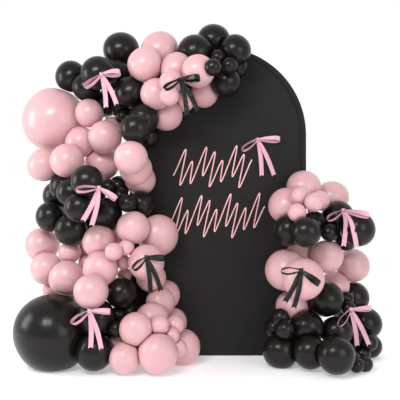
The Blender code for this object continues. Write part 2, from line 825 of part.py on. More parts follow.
def build_garlands(balls, shown, helpers, parent, surfaces):
    """The balloon clusters, numbered by colour."""
    counts = {"pink": 0, "black": 0}
    for cluster in clusters_of(balls):
        colour = cluster[0].colour
        counts[colour] += 1
        name = f"{colour}_cluster_{counts[colour]:02d}"
        ties = ties_of(cluster)
        meshes = []
        for i, ball in enumerate(cluster):
            mates = [cluster[sum(tie) - i] for tie in ties if i in tie]
            near = [ball] + mates
            apart = [other for other in balls if all(other is not one for one in near)]
            meshes.append(ball_mesh(f"{name}_balloon_{i + 1}", ball, mates, apart))
        fuse(name, meshes, surfaces[colour], cluster[0].centre, shown, helpers, parent)


def main():
    clear_scene()
    scene = bpy.context.scene
    shown = bpy.data.collections.new("balloon_garland")
    helpers = bpy.data.collections.new("balloon_garland_helpers")
    scene.collection.children.link(shown)
    scene.collection.children.link(helpers)
    helpers.hide_render = True
    surfaces = {
        "pink": material("pink_latex", (0.76, 0.42, 0.45), 0.32),
        "black": material("black_latex", (0.022, 0.021, 0.019), 0.22),
        "fabric": material("black_stretch_fabric", (0.026, 0.025, 0.023), 0.8, sheen=0.2),
        "pink_ribbon": material("pink_satin", (0.78, 0.42, 0.50), 0.38),
        "black_ribbon": material("black_satin", (0.015, 0.014, 0.013), 0.18),
        "sign": material("pink_sign", (0.80, 0.45, 0.47), 0.4),
    }
    parent = bpy.data.objects.new("garland_origin", None)
    shown.objects.link(parent)
    place("panel_cover", panel_mesh("panel_cover"), surfaces["fabric"], Vector(), shown, parent)
    balls = settle()
    build_garlands(balls, shown, helpers, parent, surfaces)
    for i, bow in enumerate(BOWS):
        name = f"{bow.colour}_bow_{i + 1}"
        meshes, knot = bow_meshes(name, bow, balls)
        fuse(name, meshes, surfaces[f"{bow.colour}_ribbon"], knot, shown, helpers, parent)
    for i, row in enumerate(SIGN_ROWS):
        name = f"sign_row_{i + 1}"
        mesh, middle = sign_mesh(name, row)
        place(name, mesh, surfaces["sign"], middle, shown, parent)


main()
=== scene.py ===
"""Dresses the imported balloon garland: latex balloons, ribbon bows, fabric cover, sign and stage.

Balloons are laid and pressed by the same rules as the solids, so each one stays where its solid is.
"""
import math
from typing import NamedTuple

import bmesh
import bpy
import numpy as np
from bpy.props import FloatProperty, FloatVectorProperty, PointerProperty
from mathutils import Matrix, Vector
from mathutils.geometry import interpolate_bezier


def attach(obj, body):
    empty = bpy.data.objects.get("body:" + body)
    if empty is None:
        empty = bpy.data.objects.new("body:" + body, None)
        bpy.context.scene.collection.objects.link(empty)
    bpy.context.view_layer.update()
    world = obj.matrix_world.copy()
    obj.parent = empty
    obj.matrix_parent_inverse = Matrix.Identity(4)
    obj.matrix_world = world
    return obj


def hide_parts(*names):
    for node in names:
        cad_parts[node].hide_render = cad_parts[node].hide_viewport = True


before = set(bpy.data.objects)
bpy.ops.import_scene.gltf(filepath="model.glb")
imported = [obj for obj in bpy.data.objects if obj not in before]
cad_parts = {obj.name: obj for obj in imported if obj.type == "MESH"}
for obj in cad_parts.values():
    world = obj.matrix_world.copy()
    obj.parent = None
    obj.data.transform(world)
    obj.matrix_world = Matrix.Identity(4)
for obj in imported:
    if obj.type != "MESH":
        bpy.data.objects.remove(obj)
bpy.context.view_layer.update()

bl_info = {
    "name": "Balloon garland",
    "version": (1, 0, 0),
    "blender": (4, 5, 0),
    "location": "View3D > Sidebar > Garland",
    "description": "Builds the visible balloons, bows, cover, sign and stage of a balloon garland",
    "category": "Object",
}

# The solids' own sizes and the photograph's scale, in metres
PANEL_WIDTH = 1.22
PANEL_HEIGHT = 2.13
TUBE_DIAMETER = 0.030
FABRIC = 0.0015
FACE_SINK = 0.002
RIM_WIDTH = 0.040
RIBBON_WIDTH = 0.030
LOOP_SPREAD = 0.062
KNOT_WIDTH = 0.026
KNOT_DEPTH = 0.020
KNOT_REST = 0.040
NOTCH_DEPTH = 0.010
TAIL_BEND = 0.008
TAILS_APART = 0.004
SIGN_STROKE = 0.009
SIGN_THICKNESS = 0.004
EYE_DISTANCE = 4.2
GAP = 0.0003
RIBBON_GAP = 0.009
PX_WIDTH = 0.006854
PX_HEIGHT = 0.006916

CM_PER_M = 100

# How the solids are laid, pressed and shaped
SMALL_BALL_RADIUS = 0.065
BIG_BALL_RADIUS = 0.18
BIG_BALL_OUT = 1.01
BALL_OUT = 1.035
SMALL_BALL_OUT = 1.05
KNOT_FEELERS = 8
LOOP_STEPS = 6
LIFT_ROUNDS = 3
TAIL_STEPS = 4
FINER = 3
SQUEEZE = 0.07
MOST_SQUEEZE = 0.2
TOUCH = 0.99
JOIN_PRESS = 0.003
SWELL = 1.03
NEIGHBOUR_REACH = 1.06
LEAST_PRESSED = 0.2
BEHIND_FACE = 0.3
PILE_DEPTH = 0.48
TURN_DEPTH = 0.05
PUSH_SHARE = 0.3
PRESS_ROUNDS = 200
JOIN_ROUNDS = 200
JOIN_STEPS = 6
LOOP_WAIST = 0.4
LOOP_FLARE = 2.4
LOOP_RISE = 0.5
LOOP_TURN = math.radians(35)
LEAST_SHARE = 0.35
MOST_TILT = 0.4
TAIL_WAIST = 0.5
TAIL_FLARE = 3
LINE_SHARE = 0.44
BEAT = 0.55
RISE = 0.16
RISE_SWING = 0.38
DROP = 0.16
DROP_SWING = 0.28
SLANT = 0.3
PANEL_LEFT_PX = 129
PANEL_RIGHT_PX = 307
PANEL_FOOT_PX = 355
PHOTO_CENTRE_PX = 200
RADIUS = PANEL_WIDTH / 2
SPRING_HEIGHT = PANEL_HEIGHT - RADIUS
HALF_DEPTH = TUBE_DIAMETER / 2 + FABRIC
FACE_Y = -HALF_DEPTH
SUNK_Y = FACE_Y + FACE_SINK
PANEL_MIDDLE_PX = (PANEL_LEFT_PX + PANEL_RIGHT_PX) / 2
WIDER_SIDE = RADIUS - (PANEL_RIGHT_PX - PANEL_MIDDLE_PX) * PX_WIDTH
EDGE_SHIFT = {"left": -WIDER_SIDE, "middle": 0, "right": WIDER_SIDE}


class Balloon(NamedTuple):
    """A balloon's real diameter, its middle in the photograph, its turn and its edge.

    Turns are counted from the back.
    """

    diameter_cm: float
    x_px: float
    y_px: float
    turn: int
    edge: str


class Bow(NamedTuple):
    """Where the photograph shows a bow's knot, the ends of its loops and the ends of its tails."""

    colour: str
    edge: str
    knot_px: tuple
    left_px: tuple
    right_px: tuple
    tails_px: tuple


class Ball(NamedTuple):
    """A balloon in its place, with the number of the cluster that it is tied into."""

    colour: str
    centre: Vector
    radius: float
    cluster: int


CLUSTERS = (
    ("black", "left", (
        (21, 213.5, 42, 1), (22, 195.5, 53.5, 2), (19.5, 235, 51.5, 3), (9.5, 218, 58, 5),
        (14, 237, 68, 1), (10, 229.5, 66, 6),
    )),
    ("black", "left", (
        (23.5, 121, 51.5, 1), (20, 116, 76, 2), (20.5, 97.5, 74, 3), (20, 131, 93, 3), (18, 86, 88, 2),
        (20.5, 71, 77.5, 1),
    )),
    ("pink", "left", (
        (24, 160, 52, 1), (21, 145, 65.5, 3), (20, 177, 70, 3), (19.5, 198, 72, 3), (14, 171, 83, 4),
        (11.5, 169, 96.5, 5),
    )),
    ("pink", "left", (
        (17.5, 204, 94, 1), (13.5, 184, 101, 1), (19.5, 166.5, 115, 1), (19, 156, 94.5, 3),
    )),
    ("black", "left", ((17.5, 106, 104, 1),)),
    ("pink", "left", (
        (41.5, 55, 121, 1), (20, 80.5, 142.5, 2), (21, 105, 137.5, 4), (22.5, 102, 164, 2),
        (12, 111.5, 126, 1), (18, 89, 113.7, 4),
    )),
    ("black", "left", ((14.5, 148, 137, 1),)),
    ("pink", "left", ((19.5, 140, 180.5, 1), (20, 135, 169, 2), (19.5, 130.7, 157.6, 4))),
    ("black", "left", (
        (14.5, 118, 187, 1), (10.5, 120, 196, 3), (11, 127.5, 203.5, 3), (10, 108, 187, 4),
        (16, 141, 204, 1), (19.5, 106, 213, 3),
    )),
    ("pink", "right", (
        (21.5, 304, 188, 1), (22, 287, 206, 1), (12.5, 320, 201, 2), (12, 300.5, 196, 3),
        (11.5, 314.5, 202.5, 4),
    )),
    ("black", "left", (
        (19.5, 57.5, 196, 1), (19, 64.5, 186.5, 2), (17.5, 71, 193, 3), (17.5, 79, 207.5, 4),
        (19, 87, 181.5, 5), (19, 50.5, 216.5, 3),
    )),
    ("pink", "right", ((21.5, 332.5, 198, 1),)),
    ("pink", "left", (
        (17.5, 122, 231, 1), (21, 99.5, 241.5, 4), (21, 100.5, 268.5, 5), (20, 91, 291, 6),
        (9, 123, 262, 5), (21.5, 145.5, 262.5, 3),
    )),
    ("pink", "left", (
        (26, 157, 235, 1), (20, 132.5, 227.5, 4), (9.5, 126, 247.5, 5), (10.5, 113.5, 251.5, 6),
    )),
    ("black", "right", (
        (13.5, 346, 240, 1), (21, 338, 217.5, 2), (21, 358, 229, 2), (16.5, 315, 224, 2),
        (11, 330, 232.5, 4),
    )),
    ("pink", "left", ((12, 83, 249, 1), (10, 85.5, 262, 2))),
    ("pink", "left", (
        (14.5, 68, 293, 1), (11, 50.5, 289.5, 2), (20.5, 46.5, 268, 3), (22, 66.5, 277.5, 5),
        (22, 42, 244.5, 2), (14, 69.5, 252, 2),
    )),
    ("black", "left", ((18, 129, 294, 1), (19, 120.5, 292.5, 4))),
    ("pink", "left", (
        (19, 164.5, 294.5, 1), (18, 160, 301.5, 2), (21.5, 151.5, 320, 2), (12, 159, 325, 4),
        (19.5, 135.5, 328.3, 4), (23, 157.3, 352, 5),
    )),
    ("black", "right", (
        (20, 354, 297, 1), (20, 366.5, 323, 2), (16, 355, 336, 2), (10.5, 369.5, 342, 3),
        (16, 345, 321, 1), (10, 363, 353.5, 6),
    )),
    ("pink", "right", ((14.5, 305, 303, 1), (20.5, 293, 306, 2))),
    ("pink", "left", (
        (19, 171.5, 322, 1), (22.5, 181.5, 346.5, 1), (10.5, 178, 347, 2), (10, 171, 335, 3),
        (11, 175, 324, 2),
    )),
    ("black", "left", ((14.5, 105, 336, 1),)),
    ("pink", "left", ((14.5, 121, 342, 1),)),
    ("black", "right", ((16, 370, 345, 1),)),
    ("black", "left", ((18.5, 226, 83, 2),)),
    ("black", "left", ((18.5, 143, 119, 2), (18, 135, 129, 3))),
    ("pink", "left", ((20.5, 43.5, 165.5, 2), (21, 67, 161.3, 4))),
    ("black", "left", ((16, 93, 198, 2),)),
    ("black", "right", ((19, 290, 230, 2), (17.5, 306.5, 232, 4))),
    ("pink", "right", (
        (20, 303, 254.5, 2), (20, 327, 255.8, 5), (25, 286.5, 270, 2), (24, 304, 279, 3),
    )),
    ("pink", "right", ((21.5, 353, 265.3, 2), (19, 335, 286, 2))),
    ("pink", "left", ((18.5, 150.5, 277, 2),)),
    ("black", "left", ((10.5, 116.5, 315, 2), (15, 127, 311, 1))),
    ("black", "right", (
        (13, 275, 327, 2), (21.5, 281, 350, 3), (11, 281, 317, 3), (20, 310.5, 351, 4),
        (21, 307.5, 326.5, 4), (21.5, 336.5, 354.5, 6),
    )),
    ("black", "left", (
        (47, 53.5, 331.5, 2), (23, 95.5, 317, 3), (22, 94.5, 351, 4), (10, 116, 328.5, 3),
    )),
    ("black", "right", ((13, 350, 358, 2), (9.5, 365.5, 363, 5), (9, 357, 364, 7))),
    ("black", "left", ((9, 122, 117, 3), (14, 121, 107.5, 1))),
    ("black", "left", ((20.5, 71, 229, 3), (15, 91, 221, 1))),
    ("black", "right", ((9, 347, 298.5, 3), (9, 349, 308, 3), (22, 326, 299, 5))),
    ("black", "right", ((19.5, 337, 331, 3),)),
    ("pink", "right", ((11, 297.5, 212.5, 4),)),
    ("pink", "left", ((9, 124.3, 275, 4),)),
    ("black", "right", ((11, 285.5, 329, 4),)),
    ("pink", "left", ((18, 124.5, 356.8, 5),)),
    ("black", "left", ((10, 213, 68, 6),)),
)

BOWS = (
    Bow("pink", "left", (101, 75), (84, 88), (120, 73), ((105.5, 108.5), (116.5, 105.5))),
    Bow("black", "left", (180, 80), (165, 92), (200, 79), ((187, 116), (198, 112))),
    Bow("pink", "middle", (258, 139.7), (242, 151), (280, 140), ((262, 176.5), (274.5, 176))),
    Bow("pink", "left", (98.5, 188), (77, 190), (116, 199), ((82, 221), (91, 226))),
    Bow("black", "left", (146, 257), (133, 269), (164, 258), ((150, 293), (161, 291))),
    Bow("pink", "left", (89, 310.5), (71, 323), (110, 311), ((90, 348), (101, 349))),
    Bow("pink", "right", (344, 210.5), (328, 220), (364, 215), ((342, 246), (354, 247))),
    Bow("black", "right", (301.5, 270), (281.5, 271), (319, 283), ((285, 302), (294, 308))),
    Bow("pink", "right", (351.5, 309), (336, 323), (372, 308), ((358, 346), (370, 345))),
)


def on_face(x_px, y_px, edge="middle"):
    """The point of the panel's face that the photograph shows at a pixel, moved along with an edge."""
    across = (x_px - PANEL_MIDDLE_PX) * PX_WIDTH + EDGE_SHIFT[edge]
    return Vector((across, FACE_Y, (PANEL_FOOT_PX - y_px) * PX_HEIGHT))


EYE = on_face(PHOTO_CENTRE_PX, PHOTO_CENTRE_PX) - Vector((0, EYE_DISTANCE, 0))


def seen(x_px, y_px, y, edge):
    """The point at depth y that the photograph shows at a pixel."""
    share = (y - EYE.y) / EYE_DISTANCE
    return EYE.lerp(on_face(x_px, y_px), share) + Vector((EDGE_SHIFT[edge], 0, 0))


def inside_outline(x, z):
    """How far inside the panel's outline a place is, in metres. It is negative outside."""
    if z > SPRING_HEIGHT:
        return RADIUS - math.hypot(x, z - SPRING_HEIGHT)
    return RADIUS - abs(x)


def on_floor(balloon, radius):
    """The depth at which a balloon stands on the floor, with its middle on its sight line."""
    down = EYE.z - radius * (1 - SQUEEZE)
    drop = EYE.z - on_face(balloon.x_px, balloon.y_px).z
    return EYE.y + EYE_DISTANCE * down / drop


def depth_limits(balloon, radius):
    """How far back and how far forward a balloon's middle may lie."""
    place = on_face(balloon.x_px, balloon.y_px, balloon.edge)
    back = FACE_Y - radius * (1 - SQUEEZE)
    if inside_outline(place.x, place.z) < -radius:
        back = FACE_Y + radius * BEHIND_FACE
    front = -PILE_DEPTH
    if place.z < radius:
        back = min(back, on_floor(balloon, radius))
        front = back - radius
    return back, front


def press_apart(balls, limits):
    """One round of pushing each two balls that press too far apart in depth, the later one forward."""
    for i in range(len(balls)):
        for j in range(i):
            ball, other = balls[i], balls[j]
            offset = other.centre - ball.centre
            wanted = (ball.radius + other.radius) * (1 - SQUEEZE)
            if offset.length >= wanted:
                continue
            sideways = offset.x ** 2 + offset.z ** 2
            move = (math.sqrt(max(wanted ** 2 - sideways, 0)) - offset.y) * PUSH_SHARE
            for k, y in ((i, ball.centre.y - move), (j, other.centre.y + move)):
                back, front = limits[k]
                yield k, min(max(y, front), back)


def moved(ball, balloon, y):
    """The ball at another depth on its sight line."""
    return ball._replace(centre=seen(balloon.x_px, balloon.y_px, y, balloon.edge))


def presses(ball, others):
    """Whether a ball presses further than MOST_SQUEEZE into any other."""
    return any(
        (ball.centre - other.centre).length < (ball.radius + other.radius) * (1 - MOST_SQUEEZE)
        for other in others
    )


def touching(ball, other):
    """Whether two balls touch, with a little press."""
    return (ball.centre - other.centre).length < (ball.radius + other.radius) * TOUCH


def linked_to(start, balls):
    """The numbers of the balls that touch one another from the starting ones on."""
    linked = set(start)
    waiting = list(start)
    while waiting:
        ball = balls[waiting.pop()]
        found = [k for k in range(len(balls)) if k not in linked and touching(ball, balls[k])]
        linked.update(found)
        waiting += found
    return linked


def joining_balls(ball, balloon, other):
    """The ball where it just touches another on its sight line, in front of it and behind it.

    A ball that moves in depth also moves sideways, so the place is found in a few steps.
    """
    wanted = (ball.radius + other.radius) * (TOUCH - JOIN_PRESS)
    for side in (-1, 1):
        nearer = ball
        for _ in range(JOIN_STEPS):
            offset = other.centre - nearer.centre
            rest = wanted ** 2 - offset.x ** 2 - offset.z ** 2
            if rest < 0:
                break
            nearer = moved(nearer, balloon, other.centre.y + side * math.sqrt(rest))
        else:
            yield nearer


def join_up(balls, turns, limits):
    """Moves each ball that hangs free in depth until it touches the group that leans on the panel."""
    on_panel = [k for k, ball in enumerate(balls) if leans_on_panel(ball)]
    for _ in range(JOIN_ROUNDS):
        linked = linked_to(on_panel, balls)
        best = None
        for k in set(range(len(balls))) - linked:
            others = balls[:k] + balls[k + 1:]
            for other in linked:
                for nearer in joining_balls(balls[k], turns[k][0], balls[other]):
                    back, front = limits[k]
                    shift = abs(nearer.centre.y - balls[k].centre.y)
                    if not front <= nearer.centre.y <= back or (best and shift >= best[0]):
                        continue
                    if touching(nearer, balls[other]) and not presses(nearer, others):
                        best = (shift, k, nearer)
        if not best:
            return
        balls[best[1]] = best[2]


def leans_on_panel(ball):
    """Whether a ball touches the panel's face."""
    inside = inside_outline(ball.centre.x, ball.centre.z)
    return inside > -ball.radius / 2 and ball.centre.y + ball.radius > FACE_Y


def settle():
    """Lays the balloons one over another in their turns, then presses them apart along their sight lines."""
    turns = []
    for number, (colour, edge, rows) in enumerate(CLUSTERS):
        turns += [(Balloon(*row, edge), colour, number) for row in rows]
    turns.sort(key=lambda turn: (turn[0].turn, turn[0].y_px, turn[0].x_px))
    limits = []
    balls = []
    for balloon, colour, number in turns:
        radius = balloon.diameter_cm / CM_PER_M / 2 * SWELL
        back, front = depth_limits(balloon, radius)
        limits.append((back, front))
        y = max(back - (balloon.turn - 1) * TURN_DEPTH, front)
        balls.append(Ball(colour, seen(balloon.x_px, balloon.y_px, y, balloon.edge), radius, number))
    for _ in range(PRESS_ROUNDS):
        for k, y in press_apart(balls, limits):
            balls[k] = moved(balls[k], turns[k][0], y)
    join_up(balls, turns, limits)
    return balls


def spread_directions(count):
    """Directions spread evenly over a sphere, along a spiral that turns by the golden angle."""
    golden_angle = math.pi * (3 - math.sqrt(5))
    directions = []
    for i in range(count):
        height = 1 - (2 * i + 1) / count
        around = math.sqrt(1 - height * height)
        angle = golden_angle * i
        directions.append(Vector((around * math.cos(angle), around * math.sin(angle), height)))
    return directions


def points_out(ball):
    """How far the points of a ball's solid stand out, as a share of its radius."""
    if ball.radius > BIG_BALL_RADIUS:
        return BIG_BALL_OUT
    return SMALL_BALL_OUT if ball.radius < SMALL_BALL_RADIUS else BALL_OUT


def flats_of(ball, others):
    """The planes that a ball presses flat against, each as a direction and its distance from the middle."""
    flats = [(Vector((0, 0, -1)), ball.centre.z)]
    inside = inside_outline(ball.centre.x, ball.centre.z)
    in_front = FACE_Y - ball.centre.y > ball.radius / 2
    if inside > -ball.radius and in_front:
        face = SUNK_Y if inside > RIM_WIDTH + ball.radius else FACE_Y
        flats.append((Vector((0, 1, 0)), face - GAP - ball.centre.y))
    elif inside > -ball.radius:
        height = max(ball.centre.z - SPRING_HEIGHT, 0)
        towards_edge = Vector((-ball.centre.x, 0, -height)).normalized()
        flats.append((towards_edge, max(-inside - GAP, ball.radius * LEAST_PRESSED)))
    for other in others:
        offset = other.centre - ball.centre
        apart = offset.length
        if apart < (ball.radius + other.radius) * NEIGHBOUR_REACH:
            share = (apart ** 2 + ball.radius ** 2 - other.radius ** 2) / (2 * apart)
            share = max(share, ball.radius * LEAST_PRESSED)
            share = min(share, apart - other.radius * LEAST_PRESSED)
            flats.append((offset / apart, share - GAP / 2))
    return flats


def front_at(point, balls):
    """The depth of the first surface on the sight line through a point."""
    toward = (point - EYE).normalized()
    nearest = FACE_Y if inside_outline(point.x, point.z) > -RIBBON_WIDTH else 0.0
    for ball in balls:
        offset = ball.centre - EYE
        reach = ball.radius * points_out(ball)
        along = offset.dot(toward)
        beside = offset.length_squared - along ** 2
        if beside < reach ** 2:
            hit = EYE + toward * (along - math.sqrt(reach ** 2 - beside))
            nearest = min(nearest, hit.y)
    return nearest


def lift(rows, knot, tip, balls):
    """Tilts a loop forward about its knot until its outer points are clear of the pile behind it."""
    points = [point for row in rows for point in row]
    reach = (tip - knot).length
    for _ in range(LIFT_ROUNDS):
        need = 0
        for point in points:
            share = min(1, (point - knot).length / reach)
            if share > LEAST_SHARE:
                need = max(need, (point.y + RIBBON_GAP - front_at(point, balls)) / share)
        for point in points:
            point.y -= need * min(1, (point - knot).length / reach)


# Settings

def colour_setting(name, description, default):
    return FloatVectorProperty(name=name, description=description,
                               subtype="COLOR", min=0, max=1, default=default)


def length_setting(name, description, least, most, default):
    return FloatProperty(name=name, description=description,
                         unit="LENGTH", min=least, max=most, default=default)


def power_setting(name, description, default):
    return FloatProperty(name=name, description=description,
                         subtype="POWER", min=0, max=2000, default=default)


# Materials

class Value:
    """A shader socket whose arithmetic adds Math nodes to its tree."""

    def __init__(self, tree, socket):
        self.tree = tree
        self.socket = socket

    def joined(self, operation, first, second):
        """A Math node of two terms, each a Value or a number."""
        node = self.tree.nodes.new("ShaderNodeMath")
        node.operation = operation
        for slot, term in zip(node.inputs, (first, second)):
            feed(self.tree, slot, term)
        return Value(self.tree, node.outputs[0])

    def __add__(self, other):
        return self.joined("ADD", self, other)

    def __sub__(self, other):
        return self.joined("SUBTRACT", self, other)

    def __rsub__(self, other):
        return self.joined("SUBTRACT", other, self)

    def __mul__(self, other):
        return self.joined("MULTIPLY", self, other)

    def smallest(self, other):
        return self.joined("MINIMUM", self, other)

    __radd__ = __add__
    __rmul__ = __mul__


def feed(tree, slot, value):
    """Links a Value to a socket, or sets the socket to a plain value."""
    if isinstance(value, Value):
        tree.links.new(value.socket, slot)
    else:
        slot.default_value = value


class Finish:
    """A material, its Principled shader, and the nodes that are added to it."""

    def __init__(self, name, colour, roughness, constants=None):
        self.made = bpy.data.materials.new(name)
        self.made.use_nodes = True
        self.tree = self.made.node_tree
        self.shader = self.tree.nodes["Principled BSDF"]
        self.shader.inputs["Base Color"].default_value = (*colour, 1)
        self.shader.inputs["Roughness"].default_value = roughness
        for socket, value in (constants or {}).items():
            self.shader.inputs[socket].default_value = value

    def node(self, kind, settings=None, output=0, **sockets):
        """A node of any kind: its settings first, then the values or links of its sockets.

        A socket is given by its name, or by the letter i and its number.
        """
        node = self.tree.nodes.new("ShaderNode" + kind)
        for name, value in (settings or {}).items():
            setattr(node, name, value)
        for name, value in sockets.items():
            numbered = name[0] == "i" and name[1:].isdigit()
            feed(self.tree, node.inputs[int(name[1:]) if numbered else name], value)
        return Value(self.tree, node.outputs[output])

    def place(self):
        """The place of a surface point in the part's own frame."""
        return self.node("TexCoord", output="Object")

    def noise(self, scale, detail=2.0):
        return self.node("TexNoise", Vector=self.place(), Scale=scale, Detail=detail)

    def attribute(self, name):
        return self.node("Attribute", {"attribute_name": name}, output="Fac")

    def wave(self, phase):
        return self.node("Math", {"operation": "SINE"}, i0=phase)

    def mixed(self, mask, first, second):
        """The first colour where the mask is 0 and the second where it is 1."""
        node = self.tree.nodes.new("ShaderNodeMix")
        node.data_type = "RGBA"
        feed(self.tree, node.inputs[0], mask)
        for slot, colour in ((node.inputs[6], first), (node.inputs[7], second)):
            feed(self.tree, slot, colour if isinstance(colour, Value) else (*colour, 1))
        return Value(self.tree, node.outputs[2])

    def ramp(self, value, low, high):
        """A value spread so that low becomes 0 and high becomes 1."""
        return self.node("MapRange", Value=value, i1=low, i2=high)

    def to(self, socket, value):
        self.tree.links.new(value.socket, self.shader.inputs[socket])

    def bump(self, height, distance, strength=1.0):
        self.to("Normal", self.node("Bump", Height=height, Distance=distance, Strength=strength))


def scaled(colour, factor):
    return tuple(channel * factor for channel in colour)


def latex(name, colour, deep, roughness, gloss, glow):
    """Latex film: deeper in colour towards the neck, with faint clouds and a fine skin."""
    finish = Finish(name, colour, roughness, {
        "Coat Weight": 0.15, "Coat Roughness": 0.2, "Specular IOR Level": gloss,
        "Subsurface Weight": glow, "Subsurface Radius": (0.04, 0.012, 0.012), "Subsurface Scale": 1.0,
    })
    clouds = finish.ramp(finish.noise(scale=7.0, detail=3.0), low=0.35, high=0.68)
    body = finish.mixed(clouds, scaled(colour, 0.95), scaled(colour, 1.04))
    finish.to("Base Color", finish.mixed(finish.attribute("neck"), body, deep))
    smears = finish.noise(scale=38.0, detail=4.0)
    finish.to("Roughness", roughness - 0.05 + smears * 0.12)
    skin = finish.noise(scale=700.0) + finish.noise(scale=90.0) * 0.6
    finish.bump(skin, distance=0.00012, strength=0.5)
    return finish.made


def satin(name, colour, glint, roughness, sheen, gloss):
    """Satin ribbon: fine threads along its length with painted glints streaked along them, soft creases and
    a woven edge on each side.
    """
    finish = Finish(name, colour, roughness, {
        "Sheen Weight": sheen, "Sheen Roughness": 0.35, "Coat Weight": gloss, "Coat Roughness": 0.08,
        "Anisotropic": 0.4, "Specular IOR Level": 0.25,
    })
    flat = finish.node("UVMap", {"uv_map": "ribbon"})
    across = finish.node("SeparateXYZ", Vector=flat)
    along = finish.node("SeparateXYZ", output=1, Vector=flat)
    threads = finish.node("TexNoise", {"noise_dimensions": "2D"}, Scale=1.0, Detail=1.0,
                          Vector=finish.node("CombineXYZ", X=across * 2400.0, Y=along * 90.0))
    picks = finish.wave(along * 6300.0)
    edge = finish.ramp(across.smallest(RIBBON_WIDTH - across), low=0.0018, high=0.0008)
    # Painted highlight: the thread streaks are mixed towards the lighter glint colour
    cloth_with_painted_glints = finish.mixed(threads, scaled(colour, 0.92), glint)
    finish.to("Base Color", finish.mixed(edge, cloth_with_painted_glints, scaled(colour, 0.8)))
    finish.to("Roughness", roughness - 0.06 + threads * 0.14 + edge * 0.15)
    creases = finish.noise(scale=40.0, detail=1.0) * 34.0
    finish.bump(threads + picks * 0.12 + edge + creases, distance=0.00015, strength=0.9)
    return finish.made


# How much of its colour the knit keeps under the painted shade at the bottom of the groove inside the rim
DIP_SHADE = 0.12


def knit(name, colour):
    """Fine stretch knit, with wales that run upwards and a soft dull face."""
    finish = Finish(name, colour, roughness=0.72, constants={
        "Sheen Weight": 0.12, "Sheen Roughness": 0.4, "Specular IOR Level": 0.3,
    })
    place = finish.place()
    wales = finish.wave(finish.node("SeparateXYZ", Vector=place) * 3900.0)
    courses = finish.wave(finish.node("SeparateXYZ", output=2, Vector=place) * 3100.0)
    slack = finish.ramp(finish.noise(scale=2.2, detail=3.0), low=0.3, high=0.7)
    face = finish.mixed(slack, scaled(colour, 0.9), scaled(colour, 1.12))
    # Painted shade: the knit is darkened along a line in the groove inside the rim, where the fold's shade
    # falls
    finish.to("Base Color", finish.mixed(finish.attribute("groove_shade"), face, scaled(colour, DIP_SHADE)))
    finish.to("Roughness", 0.66 + finish.noise(scale=24.0, detail=3.0) * 0.14)
    finish.bump(wales * courses * 0.5 + finish.noise(scale=420.0), distance=0.00025, strength=0.5)
    return finish.made


def lacquer(name, colour):
    """Smooth sprayed plastic with a faint cloud."""
    finish = Finish(name, colour, roughness=0.35, constants={"Coat Weight": 0.3, "Coat Roughness": 0.15})
    clouds = finish.noise(scale=30.0, detail=3.0)
    finish.to("Base Color", finish.mixed(clouds, scaled(colour, 0.95), scaled(colour, 1.03)))
    finish.to("Roughness", 0.3 + clouds * 0.12)
    finish.bump(finish.noise(scale=500.0), distance=0.0001, strength=0.3)
    return finish.made


# Help for modelling

def deselect():
    """Leaves nothing selected, in object mode."""
    if bpy.context.mode != "OBJECT":
        bpy.ops.object.mode_set(mode="OBJECT")
    bpy.ops.object.select_all(action="DESELECT")


def select_points(form, wanted):
    """Selects the points of the form in edit mode whose place passes the test."""
    bpy.ops.mesh.select_all(action="DESELECT")
    shape = bmesh.from_edit_mesh(form.data)
    for vert in shape.verts:
        vert.select = wanted(vert.co)
    shape.select_flush_mode()
    bmesh.update_edit_mesh(form.data)


def places(form):
    """The places of all points of a form."""
    found = np.empty(len(form.data.vertices) * 3, np.float32)
    form.data.vertices.foreach_get("co", found)
    return found.reshape(-1, 3).astype(float)


def set_places(form, points, surface):
    """Moves the points of a form and gives it its one surface."""
    form.data.vertices.foreach_set("co", points.astype(np.float32).ravel())
    form.data.update()
    form.data.materials.clear()
    form.data.materials.append(surface)


def sheet_piece(mesh, surface):
    """A smooth piece of a mesh that was made in code, with the mesh's name."""
    mesh.polygons.foreach_set("use_smooth", [True] * len(mesh.polygons))
    mesh.materials.append(surface)
    piece = bpy.data.objects.new(mesh.name, mesh)
    bpy.context.scene.collection.objects.link(piece)
    return piece


def finished(piece, node):
    """Sets a piece on the part's one body, in the place of its solid."""
    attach(piece, "root")
    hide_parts(node)


# Balloons

class LatexSettings(bpy.types.PropertyGroup):
    """Colours and make of the balloons."""

    pink: colour_setting("Pink", "Colour of the pink latex", (0.68, 0.40, 0.42))
    black: colour_setting("Black", "Colour of the black latex", (0.0088, 0.0074, 0.0064))
    crease: FloatProperty(name="Crease", description="How sharply a balloon bends where it presses flat",
                          min=8, max=80, default=30)
    pear: FloatProperty(name="Pear", description="How much slimmer a balloon is towards its neck",
                        min=0, max=0.4, default=0.14)


# A knotted neck: how far each ring lies below the last, and its radius, as shares of the neck's length
NECK_RINGS = (
    (0.06, 0.42), (0.10, 0.28), (0.10, 0.19), (0.05, 0.27), (0.06, 0.31), (0.06, 0.27),
    (0.04, 0.17), (0.10, 0.19), (0.18, 0.26), (0.14, 0.33), (0.02, 0.36), (-0.02, 0.33), (-0.12, 0.24),
)
NECK_TO_RADIUS = 0.30
# Where the latex deepens towards the neck, in radii below the middle, and over what length
DEEPER_FROM = 0.72
DEEPER_LENGTH = 0.28
# How much wider the latex is than the settled balloons, whose solids' points stand out too
FULLNESS = 1.035
# How far each balloon is turned on from the last one, in radians
TURN_ON = 2.4
# Flats that face a point of the skin less than this don't press it
LEAST_FACING = 0.02
FORM_SIZES = {"small": (28, 18), "usual": (44, 28), "large": (88, 56)}


